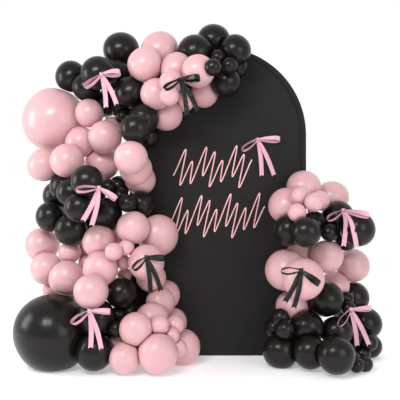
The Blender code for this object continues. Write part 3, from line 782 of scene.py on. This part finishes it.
def balloon_form(name, segments, rings, neck, pear):
    """A balloon of radius 1 with its neck along -Z, or tucked in where neck is 0."""
    deselect()
    bpy.ops.mesh.primitive_uv_sphere_add(segments=segments, ring_count=rings, radius=1)
    form = bpy.context.object
    form.name = name
    taper = form.modifiers.new("pear", "SIMPLE_DEFORM")
    taper.deform_method = "TAPER"
    taper.deform_axis = "Z"
    taper.factor = pear
    bpy.ops.object.modifier_apply(modifier=taper.name)
    if neck:
        bpy.ops.object.mode_set(mode="EDIT")
        # The lowest point gives way, and the ring round it is drawn out into the neck
        ring = math.pi / rings
        select_points(form, lambda place: place.z < -math.cos(ring * 0.5))
        bpy.ops.mesh.delete(type="VERT")
        radius = math.sin(ring) * (1 - pear / 2)
        select_points(form, lambda place: place.z < -math.cos(ring * 1.4))
        for drop, wide in NECK_RINGS:
            bpy.ops.mesh.extrude_region_move(TRANSFORM_OT_translate={"value": (0, 0, -drop * neck)})
            bpy.ops.transform.resize(value=(wide * neck / radius, wide * neck / radius, 1))
            radius = wide * neck
        bpy.ops.mesh.edge_face_add()
        bpy.ops.mesh.select_all(action="SELECT")
        bpy.ops.mesh.normals_make_consistent(inside=False)
        bpy.ops.object.mode_set(mode="OBJECT")
    bpy.ops.object.shade_smooth()
    depth = np.clip((-places(form)[:, 2] - DEEPER_FROM) / DEEPER_LENGTH, 0, 1)
    form.data.attributes.new("neck", "FLOAT", "POINT").data.foreach_set("value", depth ** 2)
    return form


# How a neck finds its way: the ways tried, how far back it has to point, the air that it needs round
# it and beside the panel, and how far away and how strongly neighbours draw it inwards
NECK_TRIALS = 240
LEAST_HIDDEN = 0.55
NECK_CLEARANCE = 0.006
NECK_BESIDE_PANEL = 0.03
NECK_REACH = 2.2
NECK_PULL = 0.3


def neck_way(ball, others, length):
    """The way out of sight in which a neck has room between the neighbours, or None."""
    near = [
        other for other in others
        if (other.centre - ball.centre).length < NECK_REACH * (ball.radius + other.radius)
    ]
    inward = Vector((0, 1, 0))
    for other in near:
        inward += (other.centre - ball.centre).normalized() * NECK_PULL
    best = None
    for way in spread_directions(NECK_TRIALS):
        tip = ball.centre + way * (ball.radius + length)
        middle = ball.centre + way * (ball.radius + length / 2)
        if way.y < LEAST_HIDDEN or tip.z < NECK_CLEARANCE * 2:
            continue
        if inside_outline(tip.x, tip.z) > -NECK_BESIDE_PANEL and tip.y > FACE_Y - NECK_CLEARANCE:
            continue
        room = min(
            ((place - other.centre).length - other.radius for place in (middle, tip) for other in near),
            default=math.inf,
        )
        if room > NECK_CLEARANCE and (best is None or way.dot(inward) > best[0]):
            best = (way.dot(inward), way)
    return best and best[1]


def pressed(form, ball, flats, way, turn, crease):
    """The form's points as a balloon in its place, pressed flat against its neighbours."""
    towards = way or Vector((0, 1, 0))
    turned = towards.to_track_quat("-Z", "Y").to_matrix() @ Matrix.Rotation(turn, 3, "Z")
    points = places(form)
    on_neck = points[:, 2] < -1.0
    points = points @ np.array(turned).T
    far = np.linalg.norm(points, axis=1)
    ways = points / far[:, None]
    inverse = (far * ball.radius) ** -crease
    for direction, distance in flats:
        facing = ways @ np.array(direction)
        press = (np.maximum(facing, LEAST_FACING) / distance) ** crease
        inverse += np.where(facing > LEAST_FACING, press, 0)
    reach = inverse ** (-1 / crease)
    if way is not None:
        reach[on_neck] = far[on_neck] * ball.radius
    return ways * reach[:, None] + np.array(ball.centre)


def balloon_copy(form, name, surface, points):
    """A copy of a form with its own mesh and its own places."""
    copy = form.copy()
    copy.data = form.data.copy()
    copy.name = name
    set_places(copy, points, surface)
    bpy.context.scene.collection.objects.link(copy)
    return copy


def named_clusters(balls):
    """The clusters of balloons, in the table's order, with the names of their solids."""
    counts = {"pink": 0, "black": 0}
    for number, (colour, _, _) in enumerate(CLUSTERS):
        counts[colour] += 1
        name = f"{colour}_cluster_{counts[colour]:02d}"
        yield name, [ball for ball in balls if ball.cluster == number]


def joined_up(copies, name):
    """One piece of several copies."""
    deselect()
    for copy in copies:
        copy.select_set(True)
    bpy.context.view_layer.objects.active = copies[0]
    if len(copies) > 1:
        bpy.ops.object.join()
    piece = bpy.context.object
    piece.name = piece.data.name = name
    return piece


def size_of(ball):
    """Which of the forms a balloon is made from."""
    if ball.radius > BIG_BALL_RADIUS:
        return "large"
    return "small" if ball.radius < SMALL_BALL_RADIUS else "usual"


class GARLAND_OT_balloons(bpy.types.Operator):
    """Builds the latex balloons, one piece for each cluster"""

    bl_idname = "garland.balloons"
    bl_label = "Balloons"

    def execute(self, context):
        settings = context.scene.garland_latex
        surfaces = {
            "pink": latex("pink_latex", settings.pink, deep=(0.55, 0.18, 0.21),
                          roughness=0.33, gloss=0.5, glow=0.2),
            "black": latex("black_latex", settings.black, deep=(0.004, 0.004, 0.004),
                           roughness=0.28, gloss=0.2, glow=0.0),
        }
        balls = [ball._replace(radius=ball.radius * FULLNESS) for ball in settle()]
        forms = {}
        for size, (segments, rings) in FORM_SIZES.items():
            for neck in (0, NECK_TO_RADIUS):
                name = f"form_{size}_{neck > 0}"
                forms[size, neck > 0] = balloon_form(name, segments, rings, neck, settings.pear)
        number = 0
        for node, cluster in named_clusters(balls):
            copies = []
            for ball in cluster:
                number += 1
                others = [other for other in balls if other is not ball]
                way = neck_way(ball, others, ball.radius * NECK_TO_RADIUS)
                form = forms[size_of(ball), way is not None]
                flats = flats_of(ball, others)
                points = pressed(form, ball, flats, way, number * TURN_ON, settings.crease)
                copies.append(balloon_copy(form, f"{node}_balloon", surfaces[ball.colour], points))
            finished(joined_up(copies, f"{node}_latex"), node)
        for form in forms.values():
            bpy.data.objects.remove(form)
        return {"FINISHED"}


# Ribbon bows

class RibbonSettings(bpy.types.PropertyGroup):
    """Colours and make of the ribbon."""

    pink: colour_setting("Pink", "Colour of the pink ribbon", (0.66, 0.32, 0.42))
    black: colour_setting("Black", "Colour of the black ribbon", (0.004, 0.0038, 0.0036))
    thickness: length_setting("Thickness", "Thickness of the ribbon", 0.0002, 0.002, 0.0005)
    pleat: length_setting("Pleats", "Depth of the pleats at the knot", 0, 0.01, 0.0035)


STRIP_COLUMNS = 11
FINE_STEPS = 7
# How far from the knot a ribbon stays pinched, and the pleats across it there
PINCH_REACH = 0.022
PLEAT_TURN = math.pi * 2.5
# How far a ribbon's edges roll up and down along it, and how often
ROLL = 0.0016
ROLL_TURNS = 9
NOTCH_REACH = 0.025
TAIL_CROWN = 0.003
# The band round a knot: its steps, how far its line stands out from the knot's middle as shares of the
# knot's size, and its pleats, tilt and the shift of its waves from bow to bow
BAND_STEPS = 9
BAND_SIDEWAYS = 0.45
BAND_FORWARD = 0.62
BAND_UP = 0.5
BAND_HALF_WIDTH = 0.42
BAND_PLEAT = 0.0012
BAND_TILT = 0.15
BAND_SHIFT = 1.2


def smooth_line(points, steps):
    """A curve through the points, as numpy rows."""
    given = np.array([list(point) for point in points])
    padded = np.vstack([2 * given[0] - given[1], given, 2 * given[-1] - given[-2]])
    rows = []
    for i in range(len(given) - 1):
        a, b, c, d = padded[i:i + 4]
        for k in range(steps):
            t = k / steps
            rows.append(0.5 * (2 * b + (c - a) * t + (2 * a - 5 * b + 4 * c - d) * t * t
                               + (3 * b - a - 3 * c + d) * t ** 3))
    rows.append(given[-1])
    return np.array(rows)


def ribbon_strip(centres, sides, pleat, pinches, crown, notch=0.0, phase=0.0):
    """Rows of points across a ribbon, pleated where it is pinched, and its own flat coordinates."""
    middle = smooth_line(centres, FINE_STEPS)
    half = smooth_line(sides, FINE_STEPS)
    count = len(middle)
    along = np.gradient(middle, axis=0)
    normal = np.cross(along, half)
    normal /= np.linalg.norm(normal, axis=1)[:, None]
    run = np.concatenate([[0], np.cumsum(np.linalg.norm(np.diff(middle, axis=0), axis=1))])
    share = run / run[-1]
    close = np.zeros(count)
    for pinch in pinches:
        close = np.maximum(close, np.exp(-np.abs(share - pinch) * run[-1] / PINCH_REACH))
    v = np.linspace(-1, 1, STRIP_COLUMNS)
    rows = middle[:, None] + half[:, None] * v[None, :, None]
    waves = np.cos(v * PLEAT_TURN + phase)[None, :] * close[:, None] * pleat
    arch = crown * (1 - v ** 2)[None, :] * np.sin(math.pi * np.clip(share, 0, 1))[:, None] ** 0.5
    roll = ROLL * np.sin(share * ROLL_TURNS + phase)[:, None] * v[None, :]
    rows = rows + normal[:, None] * (waves + arch + roll)[:, :, None]
    if notch:
        tip = np.clip((run - (run[-1] - NOTCH_REACH)) / NOTCH_REACH, 0, 1) ** 2
        back = along / np.linalg.norm(along, axis=1)[:, None]
        rows = rows - back[:, None] * (notch * (1 - np.abs(v)))[None, :, None] * tip[:, None, None]
    flat = np.stack(np.broadcast_arrays((v[None, :] + 1) / 2 * RIBBON_WIDTH, run[:, None]), axis=2)
    return rows, flat


def sheet_mesh(name, strips):
    """One mesh of several strips, each with its flat coordinates as a UV map."""
    points = []
    faces = []
    flats = []
    for rows, flat in strips:
        start = len(points)
        count, columns = rows.shape[:2]
        points += [tuple(place) for place in rows.reshape(-1, 3)]
        flats += [tuple(place) for place in flat.reshape(-1, 2)]
        for i in range(count - 1):
            for k in range(columns - 1):
                a = start + i * columns + k
                faces.append((a, a + 1, a + 1 + columns, a + columns))
    mesh = bpy.data.meshes.new(name)
    mesh.from_pydata(points, [], faces)
    layer = mesh.uv_layers.new(name="ribbon")
    for loop in mesh.loops:
        layer.data[loop.index].uv = flats[loop.vertex_index]
    mesh.update()
    return mesh


def loop_lines(knot, tip, side, half_width, balls):
    """The middle points and half widths of a ribbon loop, from the knot round the tip and back."""
    # A curve with these handles passes through the tip at three quarters of their reach
    reach = (tip - knot) * 4 / 3
    start = knot + side.normalized() * KNOT_DEPTH / 4
    end = knot - side.normalized() * KNOT_DEPTH / 4
    middle = interpolate_bezier(start, knot + reach + side, knot + reach - side, end, LOOP_STEPS + 1)
    rows = []
    for i, point in enumerate(middle):
        spread = half_width * min(1, LOOP_WAIST + LOOP_FLARE * min(i, LOOP_STEPS - i) / LOOP_STEPS)
        rows.append((point - spread, point + spread))
    lift(rows, knot, tip, balls)
    centres = [(first + second) / 2 for first, second in rows]
    sides = [(second - first) / 2 for first, second in rows]
    return centres, sides


def tail_lines(knot, end, balls):
    """The middle points and half widths of a tail that lies over what stands out below the knot."""
    across = Vector((end.z - knot.z, 0, knot.x - end.x)).normalized() * RIBBON_WIDTH / 2
    line = []
    for i in range(TAIL_STEPS * FINER + 1):
        share = i / (TAIL_STEPS * FINER)
        point = knot.lerp(end, share) + Vector((TAIL_BEND * math.sin(math.pi * share), 0, 0))
        front = min(front_at(point + side, balls) for side in (-across, Vector(), across))
        line.append((point, front - RIBBON_GAP))
    centres = []
    sides = []
    y = knot.y
    for i in range(TAIL_STEPS + 1):
        point = line[i * FINER][0]
        near = line[max(0, (i - 1) * FINER):(i + 1) * FINER + 1]
        if i > 0:
            y = min([y] + [front for _, front in near])
        centres.append(Vector((point.x, y, point.z)))
        sides.append(across * (TAIL_WAIST + (1 - TAIL_WAIST) * min(1, TAIL_FLARE * i / TAIL_STEPS)))
    return centres, sides


def knot_place(bow, balls):
    """Where a bow's knot lies: in front of what is near behind it, and not far behind its loops' ends.

    It stays clear of what is behind it and doesn't touch it.
    """
    rough = seen(*bow.knot_px, FACE_Y, bow.edge)
    around = [Vector()]
    for i in range(KNOT_FEELERS):
        angle = 2 * math.pi * i / KNOT_FEELERS
        around.append(Vector((math.cos(angle), 0, math.sin(angle))) * KNOT_REST)
    y = min(front_at(rough + offset, balls) for offset in around)
    for tip_px in (bow.left_px, bow.right_px):
        tip = seen(*tip_px, FACE_Y, bow.edge)
        y = min(y, front_at(tip, balls) + (tip - rough).length * MOST_TILT)
    return seen(*bow.knot_px, y - RIBBON_GAP / 2 - KNOT_DEPTH / 2, bow.edge)


def knot_band(knot, tilt):
    """The band of ribbon that is wound round a bow's middle."""
    centres = []
    side = Vector((math.cos(tilt), 0, -math.sin(tilt))) * KNOT_WIDTH * BAND_HALF_WIDTH
    for i in range(BAND_STEPS + 1):
        angle = 2 * math.pi * i / BAND_STEPS
        sideways = math.sin(tilt) * math.sin(angle) * KNOT_WIDTH * BAND_SIDEWAYS
        up = math.cos(tilt) * math.sin(angle) * KNOT_WIDTH * BAND_UP
        centres.append(knot + Vector((sideways, -math.cos(angle) * KNOT_DEPTH * BAND_FORWARD, up)))
    return centres, [side] * len(centres)


def bow_strips(bow, number, knot, balls, pleat):
    """The strips of a bow's two loops, its two tails and the band round its knot."""
    left = seen(*bow.left_px, knot.y, bow.edge)
    right = seen(*bow.right_px, knot.y, bow.edge)
    to_left = left - knot
    to_right = right - knot
    over = Vector((-to_left.z, 0, to_left.x)).normalized()
    behind = Vector((0, 1, 0))
    open_up = (over * math.cos(LOOP_TURN) - behind * math.sin(LOOP_TURN)) * LOOP_SPREAD
    deep = (over * math.sin(LOOP_TURN) + behind * math.cos(LOOP_TURN)) * RIBBON_WIDTH / 2
    up = Vector((-to_right.z, 0, to_right.x)).normalized() * RIBBON_WIDTH / 2
    open_out = Vector((0, -1, LOOP_RISE)) * LOOP_SPREAD
    loops = (loop_lines(knot, left, open_up, deep, balls), loop_lines(knot, right, open_out, up, balls))
    strips = [ribbon_strip(*lines, pleat, (0, 1), 0.0, phase=number) for lines in loops]
    for k, tail_px in enumerate(bow.tails_px):
        side = Vector((2 * k - 1, 1 - 2 * k, 0)) * TAILS_APART / 2
        lines = tail_lines(knot + side, seen(*tail_px, knot.y, bow.edge), balls)
        strips.append(ribbon_strip(*lines, pleat, (0,), TAIL_CROWN, notch=NOTCH_DEPTH, phase=number + k))
    band = knot_band(knot, BAND_TILT * math.sin(number))
    quarters = (0.0, 0.25, 0.5, 0.75, 1)
    strips.append(ribbon_strip(*band, BAND_PLEAT, quarters, 0.0, phase=BAND_SHIFT * number))
    return strips


class GARLAND_OT_bows(bpy.types.Operator):
    """Builds the ribbon bows"""

    bl_idname = "garland.bows"
    bl_label = "Bows"

    def execute(self, context):
        settings = context.scene.garland_ribbon
        # The glint colours are painted highlights, streaked into the satin's threads
        surfaces = {
            "pink": satin("pink_satin", settings.pink, glint=(0.82, 0.50, 0.60),
                          roughness=0.34, sheen=0.15, gloss=0.15),
            "black": satin("black_satin", settings.black, glint=(0.006, 0.006, 0.006),
                           roughness=0.25, sheen=0.0, gloss=0.35),
        }
        balls = settle()
        for i, bow in enumerate(BOWS):
            node = f"{bow.colour}_bow_{i + 1}"
            knot = knot_place(bow, balls)
            strips = bow_strips(bow, i, knot, balls, settings.pleat)
            piece = sheet_piece(sheet_mesh(f"{node}_ribbon", strips), surfaces[bow.colour])
            thickness = piece.modifiers.new("thickness", "SOLIDIFY")
            thickness.thickness = settings.thickness
            thickness.offset = 0
            finished(piece, node)
            resting_place(knot, balls)
        return {"FINISHED"}


def resting_place(knot, balls):
    """The piece nearest to a knot, which a real one would lie on: a cluster's latex, or the cover."""
    over_panel = inside_outline(knot.x, knot.z) > 0
    nearest = ("panel_sleeve", abs(knot.y - FACE_Y) if over_panel else math.inf)
    for node, cluster in named_clusters(balls):
        for ball in cluster:
            far = (ball.centre - knot).length - ball.radius
            if far < nearest[1]:
                nearest = (f"{node}_latex", far)
    return nearest[0]


# The fabric cover of the panel

class CoverSettings(bpy.types.PropertyGroup):
    """Colour and groove of the panel's cover."""

    colour: colour_setting("Colour", "Colour of the knit", (0.0088, 0.008, 0.0072))
    groove: length_setting("Groove", "Depth of the groove inside the rim", 0, 0.006, 0.005)


# Middle and half width of the painted shade line along the groove inside the rim, as shares of the rim's
# width
SHADE_LINE_MIDDLE = 1.0
SHADE_LINE_REACH = 0.32
ARC_STATIONS = 96
LEG_STATIONS = 40
# Insets of the face's inner rows, as shares of the way from the rim to the middle line
FACE_ROWS = (0.02, 0.06, 0.12, 0.2, 0.3, 0.42, 0.55, 0.7, 0.85, 1.0)
# The rim's round front: its steps and its width, as a share of the rim's
RIM_STEPS = 8
RIM_CROWN = 0.45
# The groove's rows: each one's inset as a share of the rim's width, and its depth as a share of the
# groove's
GROOVE_ROWS = ((0.78, 0.45), (0.88, 0.9), (0.95, 1), (1.02, 0.92))
# Points closer than this become one
MERGE_DISTANCE = 0.0002
# How far the groove's outer lip lies behind the rim, and its inner one behind the face
OUTER_LIP = 0.0006
INNER_LIP = 0.0004
# Insets of the outer lip, the inner lip and the first flat row, as shares of the rim's width
LIP_INSETS = (0.62, 1.15, 1.4)


def cover_stations():
    """Points round the panel's edge with the ways inwards, and the height on the middle line they face."""
    legs = []
    for side in (-1, 1):
        heights = [SPRING_HEIGHT * i / LEG_STATIONS for i in range(LEG_STATIONS)]
        legs.append([(Vector((side * RADIUS, 0, z)), Vector((-side, 0, 0)), z) for z in heights])
    arc = []
    for i in range(ARC_STATIONS + 1):
        angle = math.pi * (1 - i / ARC_STATIONS)
        outward = Vector((math.cos(angle), 0, math.sin(angle)))
        arc.append((Vector((0, 0, SPRING_HEIGHT)) + outward * RADIUS, -outward, SPRING_HEIGHT))
    return legs[0] + arc + legs[1][::-1]


def cover_profile(groove):
    """The front half of the cover's outline, from the middle of its edge to the face, as (inset, y)."""
    crown = RIM_WIDTH * RIM_CROWN
    outer, inner, flat = LIP_INSETS
    rows = []
    for i in range(RIM_STEPS + 1):
        angle = math.pi / 2 * i / RIM_STEPS
        rows.append((crown * (1 - math.cos(angle)), -HALF_DEPTH * math.sin(angle)))
    rows.append((RIM_WIDTH * outer, FACE_Y + OUTER_LIP))
    rows += [(RIM_WIDTH * inset, FACE_Y + groove * depth) for inset, depth in GROOVE_ROWS]
    return rows + [(RIM_WIDTH * inner, SUNK_Y + INNER_LIP), (RIM_WIDTH * flat, SUNK_Y)]


def cover_mesh(profile):
    """The mesh of the sleeve, with how near each point lies to the middle of the groove as a point
    attribute, which darkens the knit there as painted shade.
    """
    shape = bmesh.new()
    groove_shade = shape.verts.layers.float.new("groove_shade")
    for side in (1, -1):
        rows = []
        for place, inwards, middle_z in cover_stations():
            row = []
            for inset, y in profile:
                row.append(shape.verts.new(place + inwards * inset + Vector((0, side * y, 0))))
                # How strongly painted shade darkens each point, highest along the middle of the groove
                row[-1][groove_shade] = max(1 - abs(inset / RIM_WIDTH - SHADE_LINE_MIDDLE) / SHADE_LINE_REACH, 0)
            start = place + inwards * profile[-1][0]
            for share in FACE_ROWS:
                point = start.lerp(Vector((0, 0, middle_z)), share)
                row.append(shape.verts.new((point.x, side * SUNK_Y, point.z)))
            rows.append(row)
        for first, second in zip(rows, rows[1:]):
            for k in range(len(first) - 1):
                shape.faces.new((first[k], first[k + 1], second[k + 1], second[k]))
    bmesh.ops.remove_doubles(shape, verts=shape.verts, dist=MERGE_DISTANCE)
    bmesh.ops.recalc_face_normals(shape, faces=shape.faces)
    mesh = bpy.data.meshes.new("panel_sleeve")
    shape.to_mesh(mesh)
    shape.free()
    return mesh


class GARLAND_OT_cover(bpy.types.Operator):
    """Builds the stretched sleeve of the panel, open at its foot"""

    bl_idname = "garland.cover"
    bl_label = "Cover"

    def execute(self, context):
        settings = context.scene.garland_cover
        mesh = cover_mesh(cover_profile(settings.groove))
        piece = sheet_piece(mesh, knit("black_knit", settings.colour))
        finished(piece, "panel_cover")
        return {"FINISHED"}


# The sign

class SignRow(NamedTuple):
    """Where a row of strokes lies in the photograph, and how many strokes it has."""

    left_px: float
    right_px: float
    top_px: float
    foot_px: float
    strokes: int


SIGN_ROWS = (SignRow(175, 250, 144, 188, 15), SignRow(171, 262, 192, 238, 19))


def on_panel(x_px, y_px):
    """The place of a sign stroke's middle on the sunk face."""
    point = on_face(x_px, y_px)
    return Vector((point.x, SUNK_Y - GAP - SIGN_THICKNESS / 2, point.z))


def turn_height(number):
    """How far a stroke's end lies above the middle line, as a share of the row's height."""
    if number % 2:
        return RISE + RISE_SWING * math.cos(BEAT * number) ** 2
    return -DROP - DROP_SWING * math.sin(BEAT * number) ** 2


def stroke_line(row, steps):
    """The line of a sign row. Steps are shares of a stroke, from one turn to the next."""
    left = on_panel(row.left_px, row.foot_px)
    right = on_panel(row.right_px, row.top_px)
    height = right.z - left.z
    pitch = (right.x - left.x) / row.strokes
    points = []
    for number in range(row.strokes):
        for share in steps:
            swing = (1 - math.cos(math.pi * share)) / 2
            rise = turn_height(number) + (turn_height(number + 1) - turn_height(number)) * swing
            x = left.x + pitch * (number + share) + rise * height * SLANT
            points.append(Vector((x, left.y, left.z + height * (LINE_SHARE + rise))))
    return points


class SignSettings(bpy.types.PropertyGroup):
    """Colour of the sign."""

    colour: colour_setting("Colour", "Colour of the sign's strokes", (0.86, 0.46, 0.48))


STROKE_POINTS = 10


def stroke_piece(points):
    """A rounded stroke along the points, as a mesh of a curve with a round section."""
    deselect()
    bpy.ops.curve.primitive_nurbs_path_add()
    stroke = bpy.context.object
    stroke.data.splines.clear()
    spline = stroke.data.splines.new("NURBS")
    spline.points.add(len(points) - 1)
    for given, point in zip(spline.points, points):
        given.co = (*point, 1)
    spline.use_endpoint_u = True
    spline.order_u = 3
    stroke.data.dimensions = "3D"
    stroke.data.bevel_depth = SIGN_STROKE / 2
    stroke.data.bevel_resolution = 3
    stroke.data.use_fill_caps = True
    stroke.data.resolution_u = 4
    bpy.ops.object.convert(target="MESH")
    return bpy.context.object


class GARLAND_OT_sign(bpy.types.Operator):
    """Builds the two rows of shallow strokes on the panel"""

    bl_idname = "garland.sign"
    bl_label = "Sign"

    def execute(self, context):
        surface = lacquer("pink_sign", context.scene.garland_sign.colour)
        for i, row in enumerate(SIGN_ROWS):
            piece = stroke_piece(stroke_line(row, [k / STROKE_POINTS for k in range(STROKE_POINTS)]))
            piece.name = f"sign_strokes_{i + 1}"
            points = places(piece)
            middle = SUNK_Y - GAP - SIGN_THICKNESS / 2
            points[:, 1] = middle + (points[:, 1] - middle) * SIGN_THICKNESS / SIGN_STROKE
            set_places(piece, points, surface)
            bpy.ops.object.transform_apply(location=True, rotation=True, scale=True)
            bpy.ops.object.shade_smooth_by_angle(angle=math.radians(40))
            finished(piece, f"sign_row_{i + 1}")
        return {"FINISHED"}


# The stage

class StageSettings(bpy.types.PropertyGroup):
    """Light and floor."""

    floor: colour_setting("Floor", "Colour of the floor", (0.93, 0.93, 0.93))
    key: power_setting("Key light", "Power of the key light", 63)
    window: power_setting("Side window", "Power of the light far to the left", 70)
    fill: power_setting("Fill", "Power of the broad light on the right", 55)
    lens: FloatProperty(name="Lens", description="Focal length in mm", min=10, max=200, default=54.9)


SENSOR_WIDTH = 36
FLOOR_WIDTH = 40
SECOND_KEY_SHARE = 0.7
# How far from the part's middle the floor starts to thin out, and where it has gone
FLOOR_SOLID = 2.2
FLOOR_GONE = 5.5
# How the room's brightness goes from its front to its back
ROOM_LIGHT = {"From Min": -0.35, "From Max": 0.55, "To Min": 0.56, "To Max": 1.0}


def pale_floor(colour):
    """A pale floor that thins out a few metres from the part, so that it shows no edge."""
    finish = Finish("pale_floor", colour, roughness=0.8, constants={
        "Emission Color": (1, 1, 1, 1), "Emission Strength": 0.3,
    })
    finish.to("Base Color", finish.mixed(finish.noise(scale=1.5, detail=3.0), scaled(colour, 0.99), colour))
    away = finish.node("VectorMath", {"operation": "LENGTH"}, output="Value", i0=finish.place())
    clear = finish.node("BsdfTransparent")
    shown = finish.node("MixShader", i0=finish.ramp(away, FLOOR_SOLID, FLOOR_GONE), i2=clear)
    finish.tree.links.new(finish.shader.outputs[0], shown.socket.node.inputs[1])
    finish.tree.links.new(shown.socket, finish.tree.nodes["Material Output"].inputs["Surface"])
    return finish.made


def softbox(name, place, aim, wide, tall, power):
    """A rectangular light that faces a point."""
    data = bpy.data.lights.new(name, "AREA")
    data.shape = "RECTANGLE"
    data.size = wide
    data.size_y = tall
    data.energy = power
    light = bpy.data.objects.new(name, data)
    light.location = place
    light.rotation_euler = (Vector(aim) - Vector(place)).to_track_quat("-Z", "Y").to_euler()
    bpy.context.scene.collection.objects.link(light)


def surroundings():
    """A pale room, brighter behind the part than in front of it."""
    world = bpy.data.worlds.new("studio")
    world.use_nodes = True
    tree = world.node_tree
    back = tree.nodes["Background"]
    coordinates = tree.nodes.new("ShaderNodeTexCoord")
    split = tree.nodes.new("ShaderNodeSeparateXYZ")
    spread = tree.nodes.new("ShaderNodeMapRange")
    for socket, value in ROOM_LIGHT.items():
        spread.inputs[socket].default_value = value
    tree.links.new(coordinates.outputs["Generated"], split.inputs[0])
    tree.links.new(split.outputs[1], spread.inputs[0])
    tree.links.new(spread.outputs[0], back.inputs["Strength"])
    back.inputs["Color"].default_value = (1, 1, 1, 1)
    bpy.context.scene.world = world


class GARLAND_OT_stage(bpy.types.Operator):
    """Sets the camera, the floor and the lights"""

    bl_idname = "garland.stage"
    bl_label = "Stage"

    def execute(self, context):
        settings = context.scene.garland_stage
        scene = context.scene
        scene.view_settings.view_transform = "Standard"
        deselect()
        bpy.ops.mesh.primitive_plane_add(size=FLOOR_WIDTH, location=(0, 0, 0))
        floor = context.object
        floor.name = "studio_floor"
        floor.data.materials.append(pale_floor(settings.floor))
        surroundings()
        middle = (-0.1, 0, 1.1)
        softbox("key_left", (-1.9, -3.7, 3.2), middle, wide=0.7, tall=1.1, power=settings.key)
        softbox("key_right", (-0.9, -3.9, 3.4), middle, wide=0.6, tall=1.0,
                power=settings.key * SECOND_KEY_SHARE)
        softbox("side_window", (-4.6, -0.9, 1.8), middle, wide=1.4, tall=2.2, power=settings.window)
        softbox("fill_right", (2.9, -4.2, 1.9), (0.9, 0, 0.8), wide=2.4, tall=2.4, power=settings.fill)
        camera = bpy.data.objects.new("camera", bpy.data.cameras.new("camera"))
        camera.location = EYE
        camera.rotation_euler = (math.pi / 2, 0, 0)
        camera.data.lens = settings.lens
        camera.data.sensor_width = SENSOR_WIDTH
        scene.collection.objects.link(camera)
        scene.camera = camera
        return {"FINISHED"}


class GARLAND_PT_panel(bpy.types.Panel):
    """Lists the pieces of the garland"""

    bl_idname = "GARLAND_PT_panel"
    bl_label = "Balloon garland"
    bl_space_type = "VIEW_3D"
    bl_region_type = "UI"
    bl_category = "Garland"

    def draw(self, context):
        for name, _, operator in STEPS:
            box = self.layout.box()
            box.operator(operator.bl_idname)
            settings = getattr(context.scene, name)
            for prop in settings.bl_rna.properties:
                if prop.identifier not in ("rna_type", "name"):
                    box.prop(settings, prop.identifier)


STEPS = (
    ("garland_cover", CoverSettings, GARLAND_OT_cover),
    ("garland_latex", LatexSettings, GARLAND_OT_balloons),
    ("garland_ribbon", RibbonSettings, GARLAND_OT_bows),
    ("garland_sign", SignSettings, GARLAND_OT_sign),
    ("garland_stage", StageSettings, GARLAND_OT_stage),
)


def register():
    for name, group, operator in STEPS:
        bpy.utils.register_class(group)
        setattr(bpy.types.Scene, name, PointerProperty(type=group))
        bpy.utils.register_class(operator)
    bpy.utils.register_class(GARLAND_PT_panel)


def unregister():
    bpy.utils.unregister_class(GARLAND_PT_panel)
    for name, group, operator in reversed(STEPS):
        bpy.utils.unregister_class(operator)
        delattr(bpy.types.Scene, name)
        bpy.utils.unregister_class(group)


def main():
    register()
    bpy.ops.garland.cover()
    bpy.ops.garland.balloons()
    bpy.ops.garland.bows()
    bpy.ops.garland.sign()
    bpy.ops.garland.stage()


if __name__ == "__main__":
    main()
